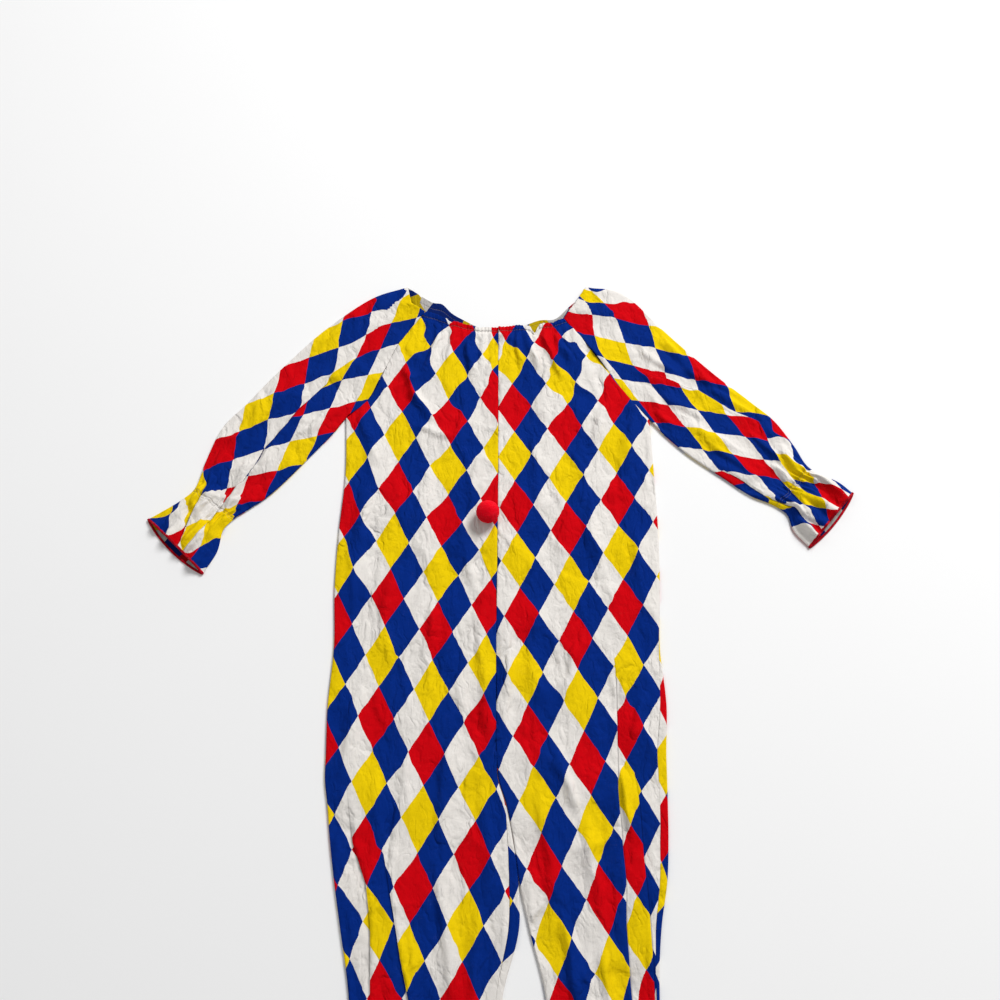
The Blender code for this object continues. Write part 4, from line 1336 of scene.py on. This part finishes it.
def clothMaterial(name, reverse):
    paint = Paint(name)
    spot = paint.node("ShaderNodeUVMap", {"uv_map": "cloth"})
    parts = paint.node("ShaderNodeSeparateXYZ", {}, {"Vector": spot})
    u = parts
    v = parts.beside(1)
    gaps = paint.node("ShaderNodeSeparateXYZ", {}, {
        "Vector": paint.node("ShaderNodeUVMap", {"uv_map": "gaps"})})
    shadow = 0.0
    for index in (0, 1):
        gap = gaps.beside(index)
        jump = paint.node("ShaderNodeSeparateXYZ", {}, {
            "Vector": paint.node("ShaderNodeUVMap", {"uv_map": "jump%d" % (index + 1)})})
        beyond = gap.over(0.0)
        u = u + beyond * jump
        v = v + beyond * jump.beside(1)
        hidden = ((jump.size() + jump.beside(1).size()) / 0.010).least(1.0)
        shadow = shadow + beyond * hidden * gap.ease(printed["tuckShadow"], 0.0)
    where = paint.node("ShaderNodeTexCoord", {}, {}, "Object")
    colour = printColours(paint, u, v, spot)
    # uneven dye, slubby threads and slight soiling
    patches = paint.noise(spot, 42.0, 4.0, 0.62)
    fine = paint.noise(spot, 900.0, 2.0, 0.6)
    warpSlub, weftSlub = (
        paint.node("ShaderNodeTexNoise", {}, {
            "Vector": paint.node("ShaderNodeMapping", {}, {"Vector": spot, "Scale": scale}),
            "Scale": 1.0, "Detail": 2.0}) for scale in ((1400, 60, 1), (60, 1400, 1)))
    shade = (patches - 0.5) * printed["mottle"] + (fine - 0.5) * 0.12 + \
        (warpSlub + weftSlub - 1.0) * 0.16
    worn = paint.mix(shade.ease(0.02, 0.24) * 0.07, colour, (0.80, 0.76, 0.68))
    colour = paint.mix(shade.ease(0.02, -0.22) * 0.38, worn, (0.05, 0.045, 0.05), "MULTIPLY")
    # painted shadow: a dark line along the covered side of each tuck's edge, where the fold shades
    # the cloth
    colour = paint.mix(shadow.least(1.0) * 0.55, colour, (0.03, 0.03, 0.04), "MULTIPLY")
    # the reverse: slightly paler print, then darkened by painted shade as if less light reaches it
    if reverse:
        colour = paint.mix(printed["reversePale"], colour, (0.66, 0.62, 0.56))
        colour = paint.mix(printed["reverseShade"], colour, (0.10, 0.10, 0.12), "MULTIPLY")
    seam = paint.node("ShaderNodeSeparateXYZ", {}, {
        "Vector": paint.node("ShaderNodeUVMap", {"uv_map": "stitched"})})
    onRow = 1.0 - seam.size().over(stitching["wide"])
    within = 1.0 - (seam.beside(1) / stitching["pitch"]).fraction().over(stitching["filled"])
    stitch = onRow * within
    colour = paint.mix(stitch * stitching["shown"], colour, stitching["colour"])
    threads = 2 * math.pi / printed["weavePitch"]
    weave = (u * threads).sine() * (v * threads).sine()
    height = weave * printed["weaveDepth"] + warpSlub * printed["slub"] + weftSlub * printed["slub"]
    groove = seam.size().ease(stitching["grooveWide"], 0.0) * stitching["groove"]
    height = height + stitch * stitching["high"] - groove
    wander = paint.node("ShaderNodeTexNoise", {}, {
        "Vector": where, "Scale": 22.0, "Detail": 3.0}, 1)
    bent = paint.mixVector(0.035, where, wander)
    for scale, depth, share in printed["creases"]:
        # thin sharp creases wandering over flatter cloth, longer along the body than across
        long = paint.node("ShaderNodeMapping", {}, {
            "Vector": bent, "Scale": (scale, 0.38 * scale, scale)})
        ridges = (paint.noise(long, 1.0, 2.0, 0.5) - 0.5).size()
        height = height + ridges.least(share) * depth
    height = height + paint.noise(where, 130.0, 3.0, 0.6) * printed["ripple"]
    bump = paint.node("ShaderNodeBump", {}, {
        "Strength": 1.0, "Distance": 1.0, "Height": height})
    paint.set(Base_Color=colour, Roughness=patches * 0.12 + (printed["roughness"] - 0.06),
              Normal=bump, Specular_IOR_Level=0.04)
    return paint.material


yarn = {"red": (1.0, 0.003, 0.022), "deep": (0.97, 0.002, 0.016), "ply": 0.0009}
thread = {"red": (0.55, 0.004, 0.016), "deep": (0.26, 0.001, 0.006), "ply": 0.0009}


def yarnMaterial(name, tones):
    paint = Paint(name)
    where = paint.node("ShaderNodeTexCoord", {}, {}, "Object")
    tone = paint.noise(where, 380.0, 3.0, 0.6)
    patch = paint.noise(where, 90.0, 2.0, 0.5)
    colour = paint.mix((tone * 0.7 + patch * 0.5).ease(0.35, 0.85), tones["deep"], tones["red"])
    plies = paint.node("ShaderNodeTexWave", {"bands_direction": "DIAGONAL"}, {
        "Vector": where, "Scale": 0.35 / tones["ply"], "Distortion": 2.5, "Detail": 1.0}, 1)
    bump = paint.node("ShaderNodeBump", {}, {
        "Strength": 0.7, "Distance": 1.0, "Height": plies * 0.0003 + tone * 0.0003})
    paint.set(Base_Color=colour, Roughness=0.86 + tone * 0.12, Normal=bump,
              Sheen_Weight=0.08, Sheen_Roughness=0.4, Specular_IOR_Level=0.06)
    return paint.material


# everything is put together

print("materials")
cotton = clothMaterial("printed cotton", False)
cottonInside = clothMaterial("printed cotton reverse", True)
redYarn = yarnMaterial("red yarn", yarn)
redThread = yarnMaterial("red thread", thread)

print("body panels")
panelSettings = (frontRight, frontLeft, backRight, backLeft)
panels = [makePanel(settings, settings in (backRight, backLeft), cotton, cottonInside)
          for settings in panelSettings]

print("sleeves")
rightSleeve, rightEnd = makeSleeve(sleeveRight, cotton, cottonInside)
leftSleeve, leftEnd = makeSleeve(sleeveLeft, cotton, cottonInside)
edges = [makeOverlock("cuff_edge_right", rightEnd, redThread, 3),
         makeOverlock("cuff_edge_left", leftEnd, redThread, 5)]

print("pompom")
makePompom(redYarn)


# floor, light and camera

studio = {
    "floor": (0.86, 0.86, 0.86),
    "world": (1.0, 1.0, 1.0), "worldStrength": 0.34,
    "key": {"place": (2.7, 3.2, 4.1), "size": 2.5, "power": 352.0},
    "fill": {"place": (-3.0, 0.4, 3.4), "size": 3.0, "power": 20.0},
    "aim": (0.003, 0.456), "tilt": 22.0, "away": 1.68, "lens": 36.0,
    "floorHalf": 6.0, "floorDrop": 0.0004,
}


def floorMaterial():
    paint = Paint("floor")
    where = paint.node("ShaderNodeTexCoord", {}, {}, "Object")
    tone = paint.noise(where, 3.0, 2.0, 0.5)
    colour = paint.mix(tone * 0.25, studio["floor"], (0.82, 0.82, 0.82))
    paint.set(Base_Color=colour, Roughness=0.9 + tone * 0.05, Specular_IOR_Level=0.1)
    return paint.material


def makeFloor():
    shape = bmesh.new()
    bmesh.ops.create_grid(shape, x_segments=2, y_segments=2, size=studio["floorHalf"])
    bmesh.ops.translate(shape, verts=shape.verts, vec=(0, 0, -studio["floorDrop"]))
    mesh = bpy.data.meshes.new("floor")
    shape.to_mesh(mesh)
    shape.free()
    mesh.materials.append(floorMaterial())
    floor = bpy.data.objects.new("floor", mesh)
    bpy.context.collection.objects.link(floor)
    return floor


def addLight(name, settings, target):
    lamp = bpy.data.lights.new(name, "AREA")
    lamp.shape = "DISK"
    lamp.size = settings["size"]
    lamp.energy = settings["power"]
    light = bpy.data.objects.new(name, lamp)
    light.location = Vector(settings["place"]) + target
    light.rotation_euler = (target - light.location).to_track_quat("-Z", "Y").to_euler()
    bpy.context.collection.objects.link(light)


print("stage")
floor = makeFloor()
target = Vector((crotch[0] + studio["aim"][0], crotch[1] + studio["aim"][1], 0.0))
addLight("key", studio["key"], target)
addLight("fill", studio["fill"], target)

world = bpy.data.worlds.new("studio")
world.use_nodes = True
sky = world.node_tree.nodes["Background"]
sky.inputs["Color"].default_value = (*studio["world"], 1.0)
sky.inputs["Strength"].default_value = studio["worldStrength"]
bpy.context.scene.world = world
bpy.context.scene.view_settings.view_transform = "Standard"

lens = bpy.data.cameras.new("camera")
lens.lens = studio["lens"]
lens.sensor_width = 36.0
camera = bpy.data.objects.new("camera", lens)
tilt = math.radians(studio["tilt"])
camera.location = target + Vector((0.0, -math.sin(tilt), math.cos(tilt))) * studio["away"]
camera.rotation_euler = (tilt, 0.0, 0.0)
bpy.context.collection.objects.link(camera)
bpy.context.scene.camera = camera
